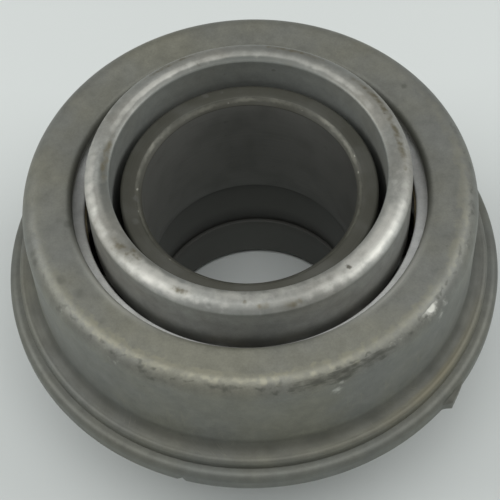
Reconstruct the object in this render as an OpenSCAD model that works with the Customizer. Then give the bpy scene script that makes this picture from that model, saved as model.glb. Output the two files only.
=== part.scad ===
// Clutch release bearing on its hub, in millimetres.
// +Z is the bearing's axis, pointing from the fork side to the clutch fingers.
// The origin is the centre of the hub's lower end, on which the part stands.

/* [Hub] */
// Diameter of the bore that slides on the guide tube
bore_d = 35; // [30:0.5:40]
// Wall of the upper sleeve, which runs up inside the bearing
sleeve_wall = 3.5; // [2.5:0.1:5]
// Wall of the lower barrel, below the disc flange
barrel_wall = 5; // [3.5:0.1:8]
// Height of the disc flange's underside above the lower end
flange_z = 22.9; // [16:0.1:28]
// Thickness of the disc flange
flange_t = 3.5; // [2.6:0.1:5]
// Rounding of the disc flange's upper edge
flange_round = 1.4; // [0.4:0.1:1.8]
// Width of the flange's rim outside the cover's foot
rim_w = 2; // [1.4:0.1:4]
// Height of the register that the fixed race stands on
register_h = 3; // [2:0.1:5]
// Length of the bore's upper land
upper_land = 24.6; // [15:0.2:28]
// Length of the bore's lower land
lower_land = 10.8; // [6:0.2:16]
// Depth of the grease relief between the two lands
relief_depth = 0.6; // [0.4:0.1:2]
// Chamfer at both ends of the bore
bore_chamfer = 1; // [0.4:0.1:1.8]
// Height of the sleeve's top rim above the cover's top face
rim_rise = 0.4; // [-3:0.1:3]

/* [Flange lug] */
// Height of the ramped lug above the flange's edge
lug_rise = 1; // [0.5:0.1:2]
// Angle at which the ramp leaves the flange's edge
lug_start = -37.5; // [-60:0.5:0]
// Angle that the ramp takes to climb
lug_sweep = 6; // [4:0.1:12]
// Angle that the steep end of the lug takes to fall
lug_fall = 1.8; // [0.5:0.1:3]

/* [Cover] */
// Thickness of the pressed sheet
cover_t = 2; // [1.2:0.1:2.6]
// Outer rounding of the shoulder
shoulder_r = 3; // [2.2:0.1:4]
// Width of the foot that stands on the flange, outside the wall
foot_w = 2.8; // [2.3:0.1:5]
// Hollow rounding between the wall and the foot
foot_fillet = 1.9; // [1:0.1:2.2]
// Rounding of the foot's upper edge
foot_round = 0.8; // [0.3:0.1:1]
// Gap between the nose and the mouth of the cover
mouth_gap = 3.1; // [2:0.1:3.8]
// Rounding of the mouth's upper edge
mouth_round = 0.8; // [0.2:0.1:1]

/* [Thrust ring] */
// Gap between the hub's sleeve and the thrust ring
ring_gap = 1.3; // [0.6:0.1:3]
// Wall of the nose
nose_wall = 4; // [3.4:0.1:4.4]
// Height of the nose's crest above the cover's top face
nose_h = 5.6; // [4:0.1:9]
// Distance of the crest from the thrust ring's bore
crest_in = 1.7; // [1.2:0.1:2]
// Fall of the crown from its crest to the nose's outer edge
crown_fall = 1; // [0.4:0.1:1.4]
// Rounding of the nose's two edges
nose_round = 0.5; // [0.2:0.1:0.7]

/* [Ball set] */
// Diameter of a ball
ball_d = 8.73; // [8:0.01:9.5]
// Number of balls
ball_count = 14; // [8:1:14]
// Angle of contact above the plane of the balls
contact_angle = 40; // [25:1:45]
// Metal left behind each raceway
race_web = 2.1; // [1.6:0.1:3.5]
// Height of the fixed race
race_h = 14.6; // [13:0.1:18]
// Height of a raceway's low shoulder above its groove
race_lip = 0.5; // [0.3:0.1:0.8]
// Thickness of the cage's sheet
cage_t = 0.8; // [0.5:0.05:1]
// Diameter of a cage rivet
rivet_d = 1; // [0.7:0.05:1.2]

/* [Dust shield] */
// Thickness of the shield's sheet
shield_t = 0.9; // [0.5:0.1:1.4]
// Gap between the ball cage and the shield's set-down middle
shield_air = 0.3; // [0.2:0.05:0.5]
// Gap between the nose and the shield
shield_gap = 0.9; // [0.3:0.1:1.2]

/* [Hidden] */
$fn = 96;
// Running clearance of a ball in its raceways
ball_clear = 0.05;
// Clearance of a ball in its cage pocket
pocket_clear = 0.15;
// Clearance of a rivet in the cage sheet
rivet_clear = 0.05;
// Clearance of the fixed race in the cover and of the register below it
race_clear = 0.03;
// Clearance between the shield's set-down middle and the fixed race
shield_clear = 0.3;
// Gap between the cage and the shoulders of the two races
cage_gap = 0.7;
// Gap under the thrust ring, above the hub's register
foot_gap = 0.5;
// Raceway radius as a share of the ball's diameter
conformity = 0.52;
// Small rounding of the races' and the hub's plain edges
edge_round = 0.5;
// Rivet head's diameter and height as shares of its shank
rivet_head = 1.8;
rivet_head_h = 0.45;
// Radius, height and angle of the nick in the flange's lower edge
nick_r = 0.4;
nick_h = 1.3;
nick_angle = -109;
// Overlap that lets a cut pass clear through
cut = 1;

bore_r = bore_d / 2;
sleeve_r = bore_r + sleeve_wall;
barrel_r = bore_r + barrel_wall;
ring_bore_r = sleeve_r + ring_gap;
nose_r = ring_bore_r + nose_wall;
ball_r = ball_d / 2;
pitch_r = ring_bore_r + race_web + ball_r;
race_r = pitch_r + ball_r + race_web;
cover_ir = race_r + race_clear;
cover_r = cover_ir + cover_t;
foot_r = cover_r + foot_w;
flange_r = foot_r + rim_w;
mouth_r = nose_r + mouth_gap;

foot_z = flange_z + flange_t;
seat_z = foot_z + register_h;
race_top = seat_z + race_h;
cover_under = race_top + shield_t;
cover_top = cover_under + cover_t;
hub_top = cover_top + rim_rise;
nose_top = cover_top + nose_h;
ball_z = seat_z + race_h / 2;

// The low shoulders let the balls in, and the high ones carry the thrust
inner_low_r = pitch_r - ball_r - ball_clear + race_lip;
outer_low_r = pitch_r + ball_r + ball_clear - race_lip;
outer_high_r = 2 * pitch_r - nose_r;
groove_r = ball_d * conformity;
groove_shift = groove_r - ball_r - ball_clear;

pocket_r = ball_r + pocket_clear;
cage_ir = nose_r + cage_gap;
cage_r = outer_high_r - cage_gap;

shield_ir = nose_r + shield_gap;
shield_step_r = outer_low_r - shield_clear;
shield_top = ball_z + pocket_r + cage_t + shield_air + shield_t;

// The crown is one arc, through its crest and the nose's outer edge
crest_r = ring_bore_r + crest_in;
crown_w = nose_wall - crest_in;
crown_arc = (crown_w * crown_w + crown_fall * crown_fall) / (2 * crown_fall);
crown_z = nose_top - crown_arc;

function ball_name(i) = str("ball_", i < 10 ? "0" : "", i);
function polar(r, a) = [r * cos(a), r * sin(a)];

// A box of a section, from one corner to the opposite one
module block(low, high) {
    translate(low) square(high - low);
}

// The web between a square corner and a round of radius r inside it
module corner(at, r, side) {
    difference() {
        translate([at.x + min(side.x, 0) * r, at.y + min(side.y, 0) * r]) square(r);
        translate(at + r * side) circle(r);
    }
}

// A chamfer's wedge at a square corner
module chamfer(at, c, side) {
    polygon([at, at + [side.x * c, 0], at + [0, side.y * c]]);
}

module each_ball() {
    for (i = [1 : ball_count])
        rotate([0, 0, i * 360 / ball_count]) translate([pitch_r, 0, 0]) children();
}

module each_rivet() {
    for (i = [1 : ball_count])
        rotate([0, 0, (i + 0.5) * 360 / ball_count]) translate([pitch_r, 0, 0]) children();
}

// Section of the hub: barrel, disc flange, register and sleeve
module hub_section() {
    difference() {
        union() {
            block([bore_r, 0], [barrel_r, foot_z]);
            block([bore_r, flange_z], [flange_r, foot_z]);
            block([bore_r, flange_z], [race_r, seat_z]);
            block([bore_r, flange_z], [sleeve_r, hub_top]);
            corner([barrel_r, flange_z], flange_round, [1, -1]);
        }
        corner([flange_r, foot_z], flange_round, [-1, -1]);
        corner([flange_r, flange_z], edge_round, [-1, 1]);
        corner([race_r, seat_z], edge_round, [-1, -1]);
        corner([sleeve_r, hub_top], edge_round, [-1, -1]);
        chamfer([barrel_r, 0], bore_chamfer, [-1, 1]);
        chamfer([bore_r, 0], bore_chamfer, [1, 1]);
        chamfer([bore_r, hub_top], bore_chamfer, [1, -1]);
        block([0, lower_land], [bore_r + relief_depth, hub_top - upper_land]);
    }
}

// Plan of the lug: an off-centre circle climbs out of the flange's edge and breaks off
module lug_plan() {
    climb = lug_rise / sin(lug_sweep);
    root_r = flange_r - flange_round;
    tip = lug_start - lug_sweep;
    intersection() {
        translate(polar(climb, lug_start - 90)) circle(flange_r);
        polygon([
            polar(root_r, lug_start),
            polar(flange_r + lug_rise, lug_start),
            polar(flange_r + 2 * lug_rise, tip),
            polar(flange_r + lug_rise, tip),
            polar(flange_r, tip - lug_fall),
            polar(root_r, tip - lug_fall)
        ]);
    }
}

module hub() {
    color("dimgray")
    union() {
        difference() {
            rotate_extrude() hub_section();
            rotate([0, 0, nick_angle]) translate([flange_r, 0, flange_z - cut]) cylinder(r = nick_r, h = cut + nick_h);
        }
        translate([0, 0, flange_z]) linear_extrude(flange_t - flange_round) lug_plan();
    }
}

// Section of the pressed cover: mouth, top, shoulder, wall and foot
module cover_section() {
    foot_top = foot_z + cover_t;
    difference() {
        union() {
            block([mouth_r, cover_under], [cover_r, cover_top]);
            block([cover_ir, foot_z], [cover_r, cover_top]);
            block([cover_ir, foot_z], [foot_r, foot_top]);
            corner([cover_r, foot_top], foot_fillet, [1, 1]);
        }
        corner([cover_r, cover_top], shoulder_r, [-1, -1]);
        corner([foot_r, foot_top], foot_round, [-1, -1]);
        corner([mouth_r, cover_top], mouth_round, [1, -1]);
        corner([cover_ir, foot_z], edge_round, [1, 1]);
    }
}

module cover() {
    color("gray") rotate_extrude() cover_section();
}

// Raceway groove, set so that the ball clears it least along the line of contact
module groove(toward) {
    translate([pitch_r, ball_z] - groove_shift * toward) circle(groove_r);
}

module outer_race_section() {
    difference() {
        union() {
            block([outer_high_r, seat_z], [race_r, ball_z]);
            block([outer_low_r, seat_z], [race_r, race_top]);
        }
        groove([cos(contact_angle), -sin(contact_angle)]);
        corner([race_r, seat_z], edge_round, [-1, 1]);
        corner([race_r, race_top], edge_round, [-1, -1]);
    }
}

module outer_race() {
    color("silver") rotate_extrude() outer_race_section();
}

// What the rounding of one nose edge takes away: wall is its radius, side +1 outside and -1 inside
module nose_edge(wall, side) {
    round_r = wall - side * nose_round;
    reach = crown_arc - nose_round;
    round_z = crown_z + sqrt(reach * reach - (round_r - crest_r) * (round_r - crest_r));
    middle = [round_r, round_z];
    touch = [crest_r, crown_z] + (middle - [crest_r, crown_z]) * crown_arc / reach;
    difference() {
        polygon([middle, [wall + side * cut, round_z], [wall + side * cut, touch.y + cut], touch]);
        translate(middle) circle(nose_round);
    }
}

// Section of the thrust ring: raceway below, crowned nose above
module thrust_ring_section() {
    difference() {
        union() {
            block([ring_bore_r, seat_z + foot_gap], [inner_low_r, ball_z]);
            block([ring_bore_r, ball_z], [nose_r, crown_z]);
            intersection() {
                block([ring_bore_r, crown_z], [nose_r, nose_top]);
                translate([crest_r, crown_z]) circle(crown_arc);
            }
        }
        groove([-cos(contact_angle), sin(contact_angle)]);
        nose_edge(nose_r, 1);
        nose_edge(ring_bore_r, -1);
    }
}

module thrust_ring() {
    color("lightgray") rotate_extrude() thrust_ring_section();
}

// Section of the shield: clamped edge, step and set-down middle
module dust_shield_section() {
    block([shield_step_r - shield_t, race_top], [race_r, cover_under]);
    block([shield_step_r - shield_t, shield_top - shield_t], [shield_step_r, cover_under]);
    block([shield_ir, shield_top - shield_t], [shield_step_r, shield_top]);
}

module dust_shield() {
    color("lightsteelblue") rotate_extrude() dust_shield_section();
}

// Upper half of the pressed ribbon cage, standing on the plane of the balls
module cage_half() {
    ribbon_h = pocket_r + cage_t + cut;
    difference() {
        intersection() {
            rotate_extrude() block([cage_ir, 0], [cage_r, ribbon_h]);
            union() {
                cylinder(r = cage_r + cut, h = cage_t);
                each_ball() sphere(pocket_r + cage_t);
            }
        }
        each_ball() sphere(pocket_r);
        each_rivet() translate([0, 0, -cut]) cylinder(r = rivet_d / 2 + rivet_clear, h = cage_t + 2 * cut);
    }
}

module cage_upper() {
    color("darkkhaki") translate([0, 0, ball_z]) cage_half();
}

module cage_lower() {
    color("darkkhaki") translate([0, 0, ball_z]) mirror([0, 0, 1]) cage_half();
}

module rivet() {
    head_h = rivet_d * rivet_head_h;
    grip = cage_t + head_h;
    translate([0, 0, -grip]) cylinder(d = rivet_d, h = 2 * grip);
    for (z = [cage_t, -grip])
        translate([0, 0, z]) cylinder(d = rivet_d * rivet_head, h = head_h);
}

module cage_rivets() {
    color("gainsboro") translate([0, 0, ball_z]) each_rivet() rivet();
}

module ball(i) {
    color("whitesmoke")
    rotate([0, 0, i * 360 / ball_count]) translate([pitch_r, 0, ball_z]) sphere(ball_r);
}

hub();
cover();
outer_race();
thrust_ring();
dust_shield();
cage_upper();
cage_lower();
cage_rivets();
for (i = [1 : ball_count]) ball(i);
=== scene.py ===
"""Looks of a well-used clutch release bearing: turned and pressed steel, their finishes and a soft studio.

The pieces that show are spun from their own sections, in millimetres, and replace the plain solids.
The pieces inside keep their solids and get a finish of their own.
"""

import logging
import math
import random
from dataclasses import dataclass
from enum import Enum
from typing import NamedTuple, Optional, Sequence, Union

import bpy
import numpy as np
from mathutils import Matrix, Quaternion, Vector


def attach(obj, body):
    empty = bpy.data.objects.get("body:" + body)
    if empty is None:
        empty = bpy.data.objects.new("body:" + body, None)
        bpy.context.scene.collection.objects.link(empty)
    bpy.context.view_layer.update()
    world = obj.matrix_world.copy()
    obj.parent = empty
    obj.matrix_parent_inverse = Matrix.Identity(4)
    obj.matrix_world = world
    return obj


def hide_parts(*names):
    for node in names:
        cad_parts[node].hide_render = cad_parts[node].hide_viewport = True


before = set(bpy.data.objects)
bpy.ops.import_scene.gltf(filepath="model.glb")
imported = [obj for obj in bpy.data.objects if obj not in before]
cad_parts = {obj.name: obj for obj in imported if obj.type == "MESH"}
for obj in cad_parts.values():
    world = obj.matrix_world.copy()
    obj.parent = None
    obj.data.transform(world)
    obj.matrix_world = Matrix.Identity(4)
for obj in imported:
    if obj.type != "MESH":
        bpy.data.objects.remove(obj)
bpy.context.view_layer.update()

LOG = logging.getLogger("release_bearing")

# Metres in a millimetre
MM = 0.001
# Distance under which two points of a section are one
MERGE_GAP = 0.002 * MM
# Angle past which an edge stays sharp
SHARP_ANGLE = math.radians(32)
# Degrees in half a turn
HALF_TURN = 180.0

# Sizes that a piece shares with its finish or with another piece, in millimetres
BORE_R = 17.5
BORE_CHAMFER = 1.0
LOWER_LAND = 10.8
SLEEVE_R = 21.0
HUB_TOP = 47.3
RACE_R = 35.23
FOOT_Z = 26.4
SHEET = 2.0
FOOT_TOP = FOOT_Z + SHEET
WALL_R = 37.26
RING_BORE_R = 22.3

# Curve of a screen's gamma
SCREEN_FULL = 255.0
SCREEN_KNEE = 0.04045
SCREEN_SLOPE = 12.92
SCREEN_OFFSET = 0.055
SCREEN_POWER = 2.4

Socket = bpy.types.NodeSocket
Feed = Union[Socket, float, Sequence[float]]
Feeds = dict[Union[str, int], Feed]


class Body(Enum):
    """The bodies that pieces ride on."""

    HOUSING = "housing"
    THRUST = "thrust"


class Tone(NamedTuple):
    """A colour as it shows on a screen, from 0 to 255."""

    red: float
    green: float
    blue: float

    def linear(self) -> tuple[float, float, float, float]:
        """Takes the screen's gamma out of the colour.

        Returns:
            The colour as a shader reads it.
        """

        def level(channel: float) -> float:
            """Takes the gamma out of one channel.

            Args:
                channel: The channel, from 0 to 255.

            Returns:
                Its level, from 0 to 1.
            """
            share = channel / SCREEN_FULL
            if share <= SCREEN_KNEE:
                return share / SCREEN_SLOPE
            return ((share + SCREEN_OFFSET) / (1.0 + SCREEN_OFFSET)) ** SCREEN_POWER

        return level(self.red), level(self.green), level(self.blue), 1.0


class Range(NamedTuple):
    """The two ends of a change or of a choice. A change starts at the first one."""

    low: float
    high: float


WHOLE = Range(0.0, 1.0)


class Sway(NamedTuple):
    """Unevenness of a border.

    Attributes:
        size: Width of its waves, in millimetres.
        reach: How far they move the border.
    """

    size: float
    reach: float


class Patches(NamedTuple):
    """An uneven cover.

    Attributes:
        size: Width of a patch, in millimetres.
        edge: Noise over which a patch sets in.
        share: Strength between patches and on them.
        detail: Fineness of their borders.
    """

    size: float
    edge: Range
    share: Range
    detail: float = 3.0


class Corner(NamedTuple):
    """A corner of a section.

    Attributes:
        r: Distance from the axis.
        z: Height.
        rounding: Radius that the corner is rounded to.
        parts: Edges in the rounding.
        run: Edges in the straight stretch that leads to the corner.
    """

    r: float
    z: float
    rounding: float = 0.0
    parts: int = 5
    run: int = 1


def select_nothing() -> None:
    """Leaves every object unselected, in object mode."""
    if bpy.context.object and bpy.context.object.mode != "OBJECT":
        bpy.ops.object.mode_set(mode="OBJECT")
    bpy.ops.object.select_all(action="DESELECT")


class SectionPen:
    """Draws half of a section with edit-mode operators, then spins it round the Z axis."""

    def __init__(self, name: str, r: float, z: float) -> None:
        """Puts the pen down.

        Args:
            name: Name of the piece that is drawn.
            r: Distance of the first point from the axis.
            z: Height of the first point.
        """
        select_nothing()
        bpy.ops.mesh.primitive_plane_add(size=MM)
        self.piece = bpy.context.object
        self.piece.name = name
        self.piece.data.name = name
        bpy.ops.object.mode_set(mode="EDIT")
        bpy.ops.mesh.merge(type="CENTER")
        bpy.ops.transform.translate(value=(r * MM, 0.0, z * MM))
        self.at = Vector((r, z))

    def line(self, to: Vector, parts: int = 1) -> None:
        """Draws a straight stretch.

        Args:
            to: Its far end.
            parts: Number of edges in it.
        """
        step = (to - self.at) * MM / parts
        for _ in range(parts):
            bpy.ops.mesh.extrude_region_move(TRANSFORM_OT_translate={"value": (step.x, 0.0, step.y)})
        self.at = to.copy()

    def arc(self, middle: Vector, turn: float, parts: int) -> None:
        """Draws an arc.

        Args:
            middle: Its centre.
            turn: Angle that it takes, counter-clockwise, in radians.
            parts: Number of edges in it.
        """
        centre = (middle.x * MM, 0.0, middle.y * MM)
        bpy.ops.mesh.spin(steps=parts, angle=turn, center=centre, axis=(0.0, 1.0, 0.0))
        arm = self.at - middle
        turned = Vector((
            arm.x * math.cos(turn) - arm.y * math.sin(turn),
            arm.x * math.sin(turn) + arm.y * math.cos(turn),
        ))
        self.at = middle + turned

    def corners(self, corners: Sequence[Corner], last: Vector) -> None:
        """Draws a chain of straight stretches with rounded corners.

        Args:
            corners: The corners, in order.
            last: Where the chain ends.
        """
        points = [Vector((corner.r, corner.z)) for corner in corners] + [last]
        for corner, here, following in zip(corners, points, points[1:]):
            came = (here - self.at).normalized()
            goes = (following - here).normalized()
            turn = math.atan2(came.x * goes.y - came.y * goes.x, came.dot(goes))
            if corner.rounding == 0.0:
                self.line(here, corner.run)
                continue
            self.line(here - came * corner.rounding * math.tan(abs(turn) / 2), corner.run)
            side = math.copysign(1.0, turn)
            middle = self.at + Vector((-came.y, came.x)) * side * corner.rounding
            self.arc(middle, turn, corner.parts)
        self.line(last)

    def spin(self, steps: int) -> bpy.types.Object:
        """Spins the closed section into a ring.

        Args:
            steps: Number of faces round the ring.

        Returns:
            The finished ring, smooth but for its sharp edges.
        """
        bpy.ops.object.mode_set(mode="OBJECT")
        lathe = self.piece.modifiers.new("lathe", "SCREW")
        lathe.steps = steps
        lathe.render_steps = steps
        lathe.use_merge_vertices = True
        lathe.merge_threshold = MERGE_GAP
        bpy.ops.object.modifier_apply(modifier=lathe.name)
        bpy.ops.object.mode_set(mode="EDIT")
        bpy.ops.mesh.select_all(action="SELECT")
        bpy.ops.mesh.remove_doubles(threshold=MERGE_GAP)
        bpy.ops.mesh.normals_make_consistent(inside=False)
        bpy.ops.object.mode_set(mode="OBJECT")
        bpy.ops.object.shade_smooth_by_angle(angle=SHARP_ANGLE)
        return self.piece


class Places:
    """The points of a piece as arrays, in millimetres and degrees round the axis."""

    def __init__(self, piece: bpy.types.Object) -> None:
        """Reads the points.

        Args:
            piece: The piece that is read.
        """
        points = np.zeros((len(piece.data.vertices), 3), np.float32)
        piece.data.vertices.foreach_get("co", points.ravel())
        x, y, self.z = (points / MM).T
        self.r = np.hypot(x, y)
        self.angle = np.degrees(np.arctan2(y, x))

    def off(self, angle: float) -> np.ndarray:
        """Returns each point's angle from a given one, half a turn each way at most."""
        return (self.angle - angle + HALF_TURN) % (2 * HALF_TURN) - HALF_TURN

    def around(self, angle: float, r: float) -> np.ndarray:
        """Returns each point's distance from an angle, along a circle of a radius."""
        return np.radians(self.off(angle)) * r


class Zone(NamedTuple):
    """A marked zone on a turned piece, strongest at its middle.

    Attributes:
        angle: Angle of its middle round the axis, in degrees.
        sweep: Angle over which it fades.
        r: Radius of its middle.
        reach: Distance over which it fades.
        share: Its strength, from 0 to 1.
    """

    angle: float
    sweep: float
    r: float
    reach: float
    share: float

    def over(self, places: Places) -> np.ndarray:
        """Returns its strength at each point."""
        away = (places.off(self.angle) / self.sweep) ** 2 + ((places.r - self.r) / self.reach) ** 4
        return self.share * np.exp(-away)


class Sector(NamedTuple):
    """A side of a turned piece, strongest at its middle.

    Attributes:
        angle: Angle of its middle round the axis, in degrees.
        sweep: Angle over which it fades.
        share: Its strength, from 0 to 1.
    """

    angle: float
    sweep: float
    share: float = 1.0

    def over(self, places: Places) -> np.ndarray:
        """Returns its strength at each point."""
        return self.share * np.exp(-(places.off(self.angle) / self.sweep) ** 2)


class Smear(NamedTuple):
    """A mark on a wall.

    Attributes:
        angle: Angle of its middle round the axis, in degrees.
        z: Height of its middle.
        wide: Half its width along the wall.
        tall: Half its height.
        share: Its strength, from 0 to 1.
    """

    angle: float
    z: float
    wide: float
    tall: float
    share: float = 1.0

    def away(self, places: Places, wall_r: float) -> np.ndarray:
        """Returns each point's squared distance from its middle, 1 at its border."""
        across = places.around(self.angle, wall_r) / self.wide
        return across ** 2 + ((places.z - self.z) / self.tall) ** 2


class Stain(NamedTuple):
    """A dried stain on the crown.

    Attributes:
        angle: Angle of its middle round the axis, in degrees.
        r: Radius of its middle.
        long: Half its length round the axis.
        wide: Half its width.
    """

    angle: float
    r: float
    long: float
    wide: float

    def away(self, places: Places) -> np.ndarray:
        """Returns each point's distance from its middle, 1 at its border."""
        return np.hypot(places.around(self.angle, self.r) / self.long, (places.r - self.r) / self.wide)


def strongest(zones: Sequence[Zone], places: Places) -> np.ndarray:
    """Returns the strength of the strongest zone at each point."""
    return np.max([zone.over(places) for zone in zones], axis=0)


def tag(piece: bpy.types.Object, mark: str, share: np.ndarray) -> None:
    """Keeps marks on a piece as an attribute, for its finish.

    Args:
        piece: The piece.
        mark: Name of the attribute.
        share: Strength of the mark at each point, from 0 to 1.
    """
    kept = piece.data.attributes.new(mark, "FLOAT", "POINT")
    kept.data.foreach_set("value", share.astype(np.float32))


def weigh(piece: bpy.types.Object, name: str, share: np.ndarray) -> None:
    """Weighs the points of a piece in a vertex group, for a modifier.

    Args:
        piece: The piece.
        name: Name of the group.
        share: Weight of each point, from 0 to 1.
    """
    group = piece.vertex_groups.new(name=name)
    for index in np.flatnonzero(share > 0.0):
        group.add([int(index)], float(share[index]), "REPLACE")


def settle(piece: bpy.types.Object, change: bpy.types.Modifier) -> None:
    """Applies a modifier to a piece and drops the vertex group that it used.

    Args:
        piece: The piece.
        change: The modifier.
    """
    select_nothing()
    bpy.context.view_layer.objects.active = piece
    bpy.ops.object.modifier_apply(modifier=change.name)
    piece.vertex_groups.clear()


def press(piece: bpy.types.Object, mark: str, depth: np.ndarray) -> None:
    """Presses marks into a piece along its normals, and keeps them for its finish.

    Args:
        piece: The piece.
        mark: Name of the marks' attribute, which holds 1 at the deepest point.
        depth: Depth at each point, in millimetres.
    """
    deepest = float(depth.max())
    share = depth / deepest
    weigh(piece, mark, share)
    dent = piece.modifiers.new(mark, "DISPLACE")
    dent.mid_level = 0.0
    dent.strength = -deepest * MM
    dent.vertex_group = mark
    settle(piece, dent)
    tag(piece, mark, share)


class Shader:
    """Lays out the nodes of one material, world or node group.

    Attributes:
        sway_detail: Fineness of an uneven border.
        sway_gain: How far a noise is stretched, as it keeps to the middle of its range.
    """

    sway_detail = 4.0
    sway_gain = 2.0

    def __init__(self, tree: bpy.types.NodeTree) -> None:
        """Takes over an empty tree."""
        self.tree = tree

    def node(self, kind: str, feeds: Optional[Feeds] = None, **settings: object) -> bpy.types.Node:
        """Adds a node.

        Args:
            kind: The node's type, without its common prefix.
            feeds: What goes into its inputs, by their names or numbers.
            settings: Values of the node's own properties.

        Returns:
            The node.
        """
        added = self.tree.nodes.new("ShaderNode" + kind)
        for name, value in settings.items():
            setattr(added, name, value)
        for name, value in (feeds or {}).items():
            self.feed(added.inputs[name], value)
        return added

    def feed(self, socket: Socket, value: Feed) -> None:
        """Links a socket, or sets its value.

        Args:
            socket: The socket.
            value: Another node's output, or a plain value.
        """
        if isinstance(value, bpy.types.NodeSocket):
            self.tree.links.new(value, socket)
        else:
            socket.default_value = value

    def math(self, operation: str, first: Feed, second: Feed = 0.0) -> Socket:
        """Returns the result of a calculation on two values."""
        return self.node("Math", {0: first, 1: second}, operation=operation).outputs[0]

    def times(self, first: Feed, *others: Feed) -> Socket:
        """Multiplies values.

        Args:
            first: The first value.
            others: The other ones.

        Returns:
            Their product.
        """
        for other in others:
            first = self.math("MULTIPLY", first, other)
        return first

    def vector(self, operation: str, feeds: Feeds) -> Socket:
        """Returns the result of a calculation on vectors."""
        return self.node("VectorMath", feeds, operation=operation).outputs[0]

    def ease(self, value: Feed, low: float, high: float) -> Socket:
        """Returns 0 where a value is at low, 1 where it is at high, and a smooth change between them."""
        feeds = {"Value": value, "From Min": low, "From Max": high}
        return self.node("MapRange", feeds, interpolation_type="SMOOTHSTEP").outputs["Result"]

    def span(self, value: Feed, low: float, high: float) -> Socket:
        """Returns a value from 0 to 1 stretched to run from low to high."""
        return self.node("MapRange", {"Value": value, "To Min": low, "To Max": high}).outputs["Result"]

    def band(self, value: Feed, ends: Range, soft: float) -> Socket:
        """Returns 1 where a value lies between two ends, with soft borders."""
        starts = self.ease(value, ends.low - soft, ends.low + soft)
        return self.times(starts, self.ease(value, ends.high + soft, ends.high - soft))

    def noise(self, place: Feed, size: float, detail: float = 3.0) -> Socket:
        """Returns a soft noise whose patches are about size millimetres across."""
        feeds = {"Vector": place, "Scale": 1.0 / (size * MM), "Detail": detail}
        return self.node("TexNoise", feeds).outputs["Fac"]

    def sway(self, place: Feed, border: Sway) -> Socket:
        """Returns a noise that runs from minus to plus a reach, for an uneven border."""
        end = self.sway_gain * border.reach
        return self.span(self.noise(place, border.size, self.sway_detail), -end, end)

    def patches(self, place: Feed, cover: Patches) -> Socket:
        """Returns the strength of an uneven cover."""
        noise = self.noise(place, cover.size, cover.detail)
        return self.span(self.ease(noise, *cover.edge), *cover.share)

    def blend(self, share: Feed, under: Feed, over: Feed) -> Socket:
        """Returns one colour laid over another by a share.

        Args:
            share: How far the upper colour covers the lower one.
            under: The lower colour.
            over: The upper colour.

        Returns:
            The mixed colour.
        """
        added = self.node("Mix", data_type="RGBA")
        under_socket, over_socket = (socket for socket in added.inputs if socket.type == "RGBA")
        self.feed(added.inputs["Factor"], share)
        self.feed(under_socket, under)
        self.feed(over_socket, over)
        return next(socket for socket in added.outputs if socket.type == "RGBA")

    def layers(self, colour: Feed, covers: Sequence[tuple[Socket, Tone]]) -> Feed:
        """Lays colours over one another.

        Args:
            colour: The lowest colour.
            covers: Share and tone of each colour above it, in order.

        Returns:
            The mixed colour.
        """
        for share, tone in covers:
            colour = self.blend(share, colour, tone.linear())
        return colour

    def scaled(self, colour: Feed, factor: Feed) -> Socket:
        """Returns a colour made lighter or darker by a factor."""
        return self.vector("SCALE", {0: colour, "Scale": factor})

    def group(self, effect: type["Effect"], feeds: Feeds) -> bpy.types.NodeOutputs:
        """Places a shared effect and returns its outputs."""
        return self.node("Group", feeds, node_tree=effect.tree()).outputs

    def mark(self, name: str) -> Socket:
        """Returns a mark that the mesh holds as an attribute."""
        return self.node("Attribute", attribute_name=name).outputs["Fac"]


class Effect:
    """A shared shader node group, built once.

    Attributes:
        name: Name of the group.
        takes: Its inputs besides the place, with their default values.
        gives: Its outputs.
    """

    name = "effect"
    takes: dict[str, float] = {}
    gives: Sequence[str] = ()

    @classmethod
    def tree(cls) -> bpy.types.NodeTree:
        """Builds the group the first time.

        Returns:
            The group.
        """
        made = bpy.data.node_groups.get(cls.name)
        if made:
            return made
        made = bpy.data.node_groups.new(cls.name, "ShaderNodeTree")
        made.interface.new_socket("Place", in_out="INPUT", socket_type="NodeSocketVector")
        for socket, default in cls.takes.items():
            added = made.interface.new_socket(socket, in_out="INPUT", socket_type="NodeSocketFloat")
            added.default_value = default
        for socket in cls.gives:
            made.interface.new_socket(socket, in_out="OUTPUT", socket_type="NodeSocketFloat")
        shader = Shader(made)
        entry = made.nodes.new("NodeGroupInput").outputs
        end = made.nodes.new("NodeGroupOutput").inputs
        for name, result in cls.lay(shader, entry).items():
            shader.feed(end[name], result)
        return made

    @classmethod
    def lay(cls, shader: Shader, entry: bpy.types.NodeOutputs) -> dict[str, Socket]:
        """Lays the group's nodes.

        Args:
            shader: The group's shader.
            entry: The group's inputs.

        Returns:
            What each output takes.
        """
        raise NotImplementedError


class AboutAxis(Effect):
    """Distance from the axis and height, in millimetres."""

    name = "about_axis"
    gives = ("Radius", "Height")

    @classmethod
    def lay(cls, shader: Shader, entry: bpy.types.NodeOutputs) -> dict[str, Socket]:
        """Lays the group's nodes.

        Args:
            shader: The group's shader.
            entry: The group's inputs.

        Returns:
            What each output takes.
        """
        parts = shader.node("SeparateXYZ", {"Vector": entry["Place"]}).outputs
        across = shader.times(parts["X"], parts["X"])
        away = shader.times(parts["Y"], parts["Y"])
        radius = shader.math("SQRT", shader.math("ADD", across, away))
        return {
            "Radius": shader.math("DIVIDE", radius, MM),
            "Height": shader.math("DIVIDE", parts["Z"], MM),
        }


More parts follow.
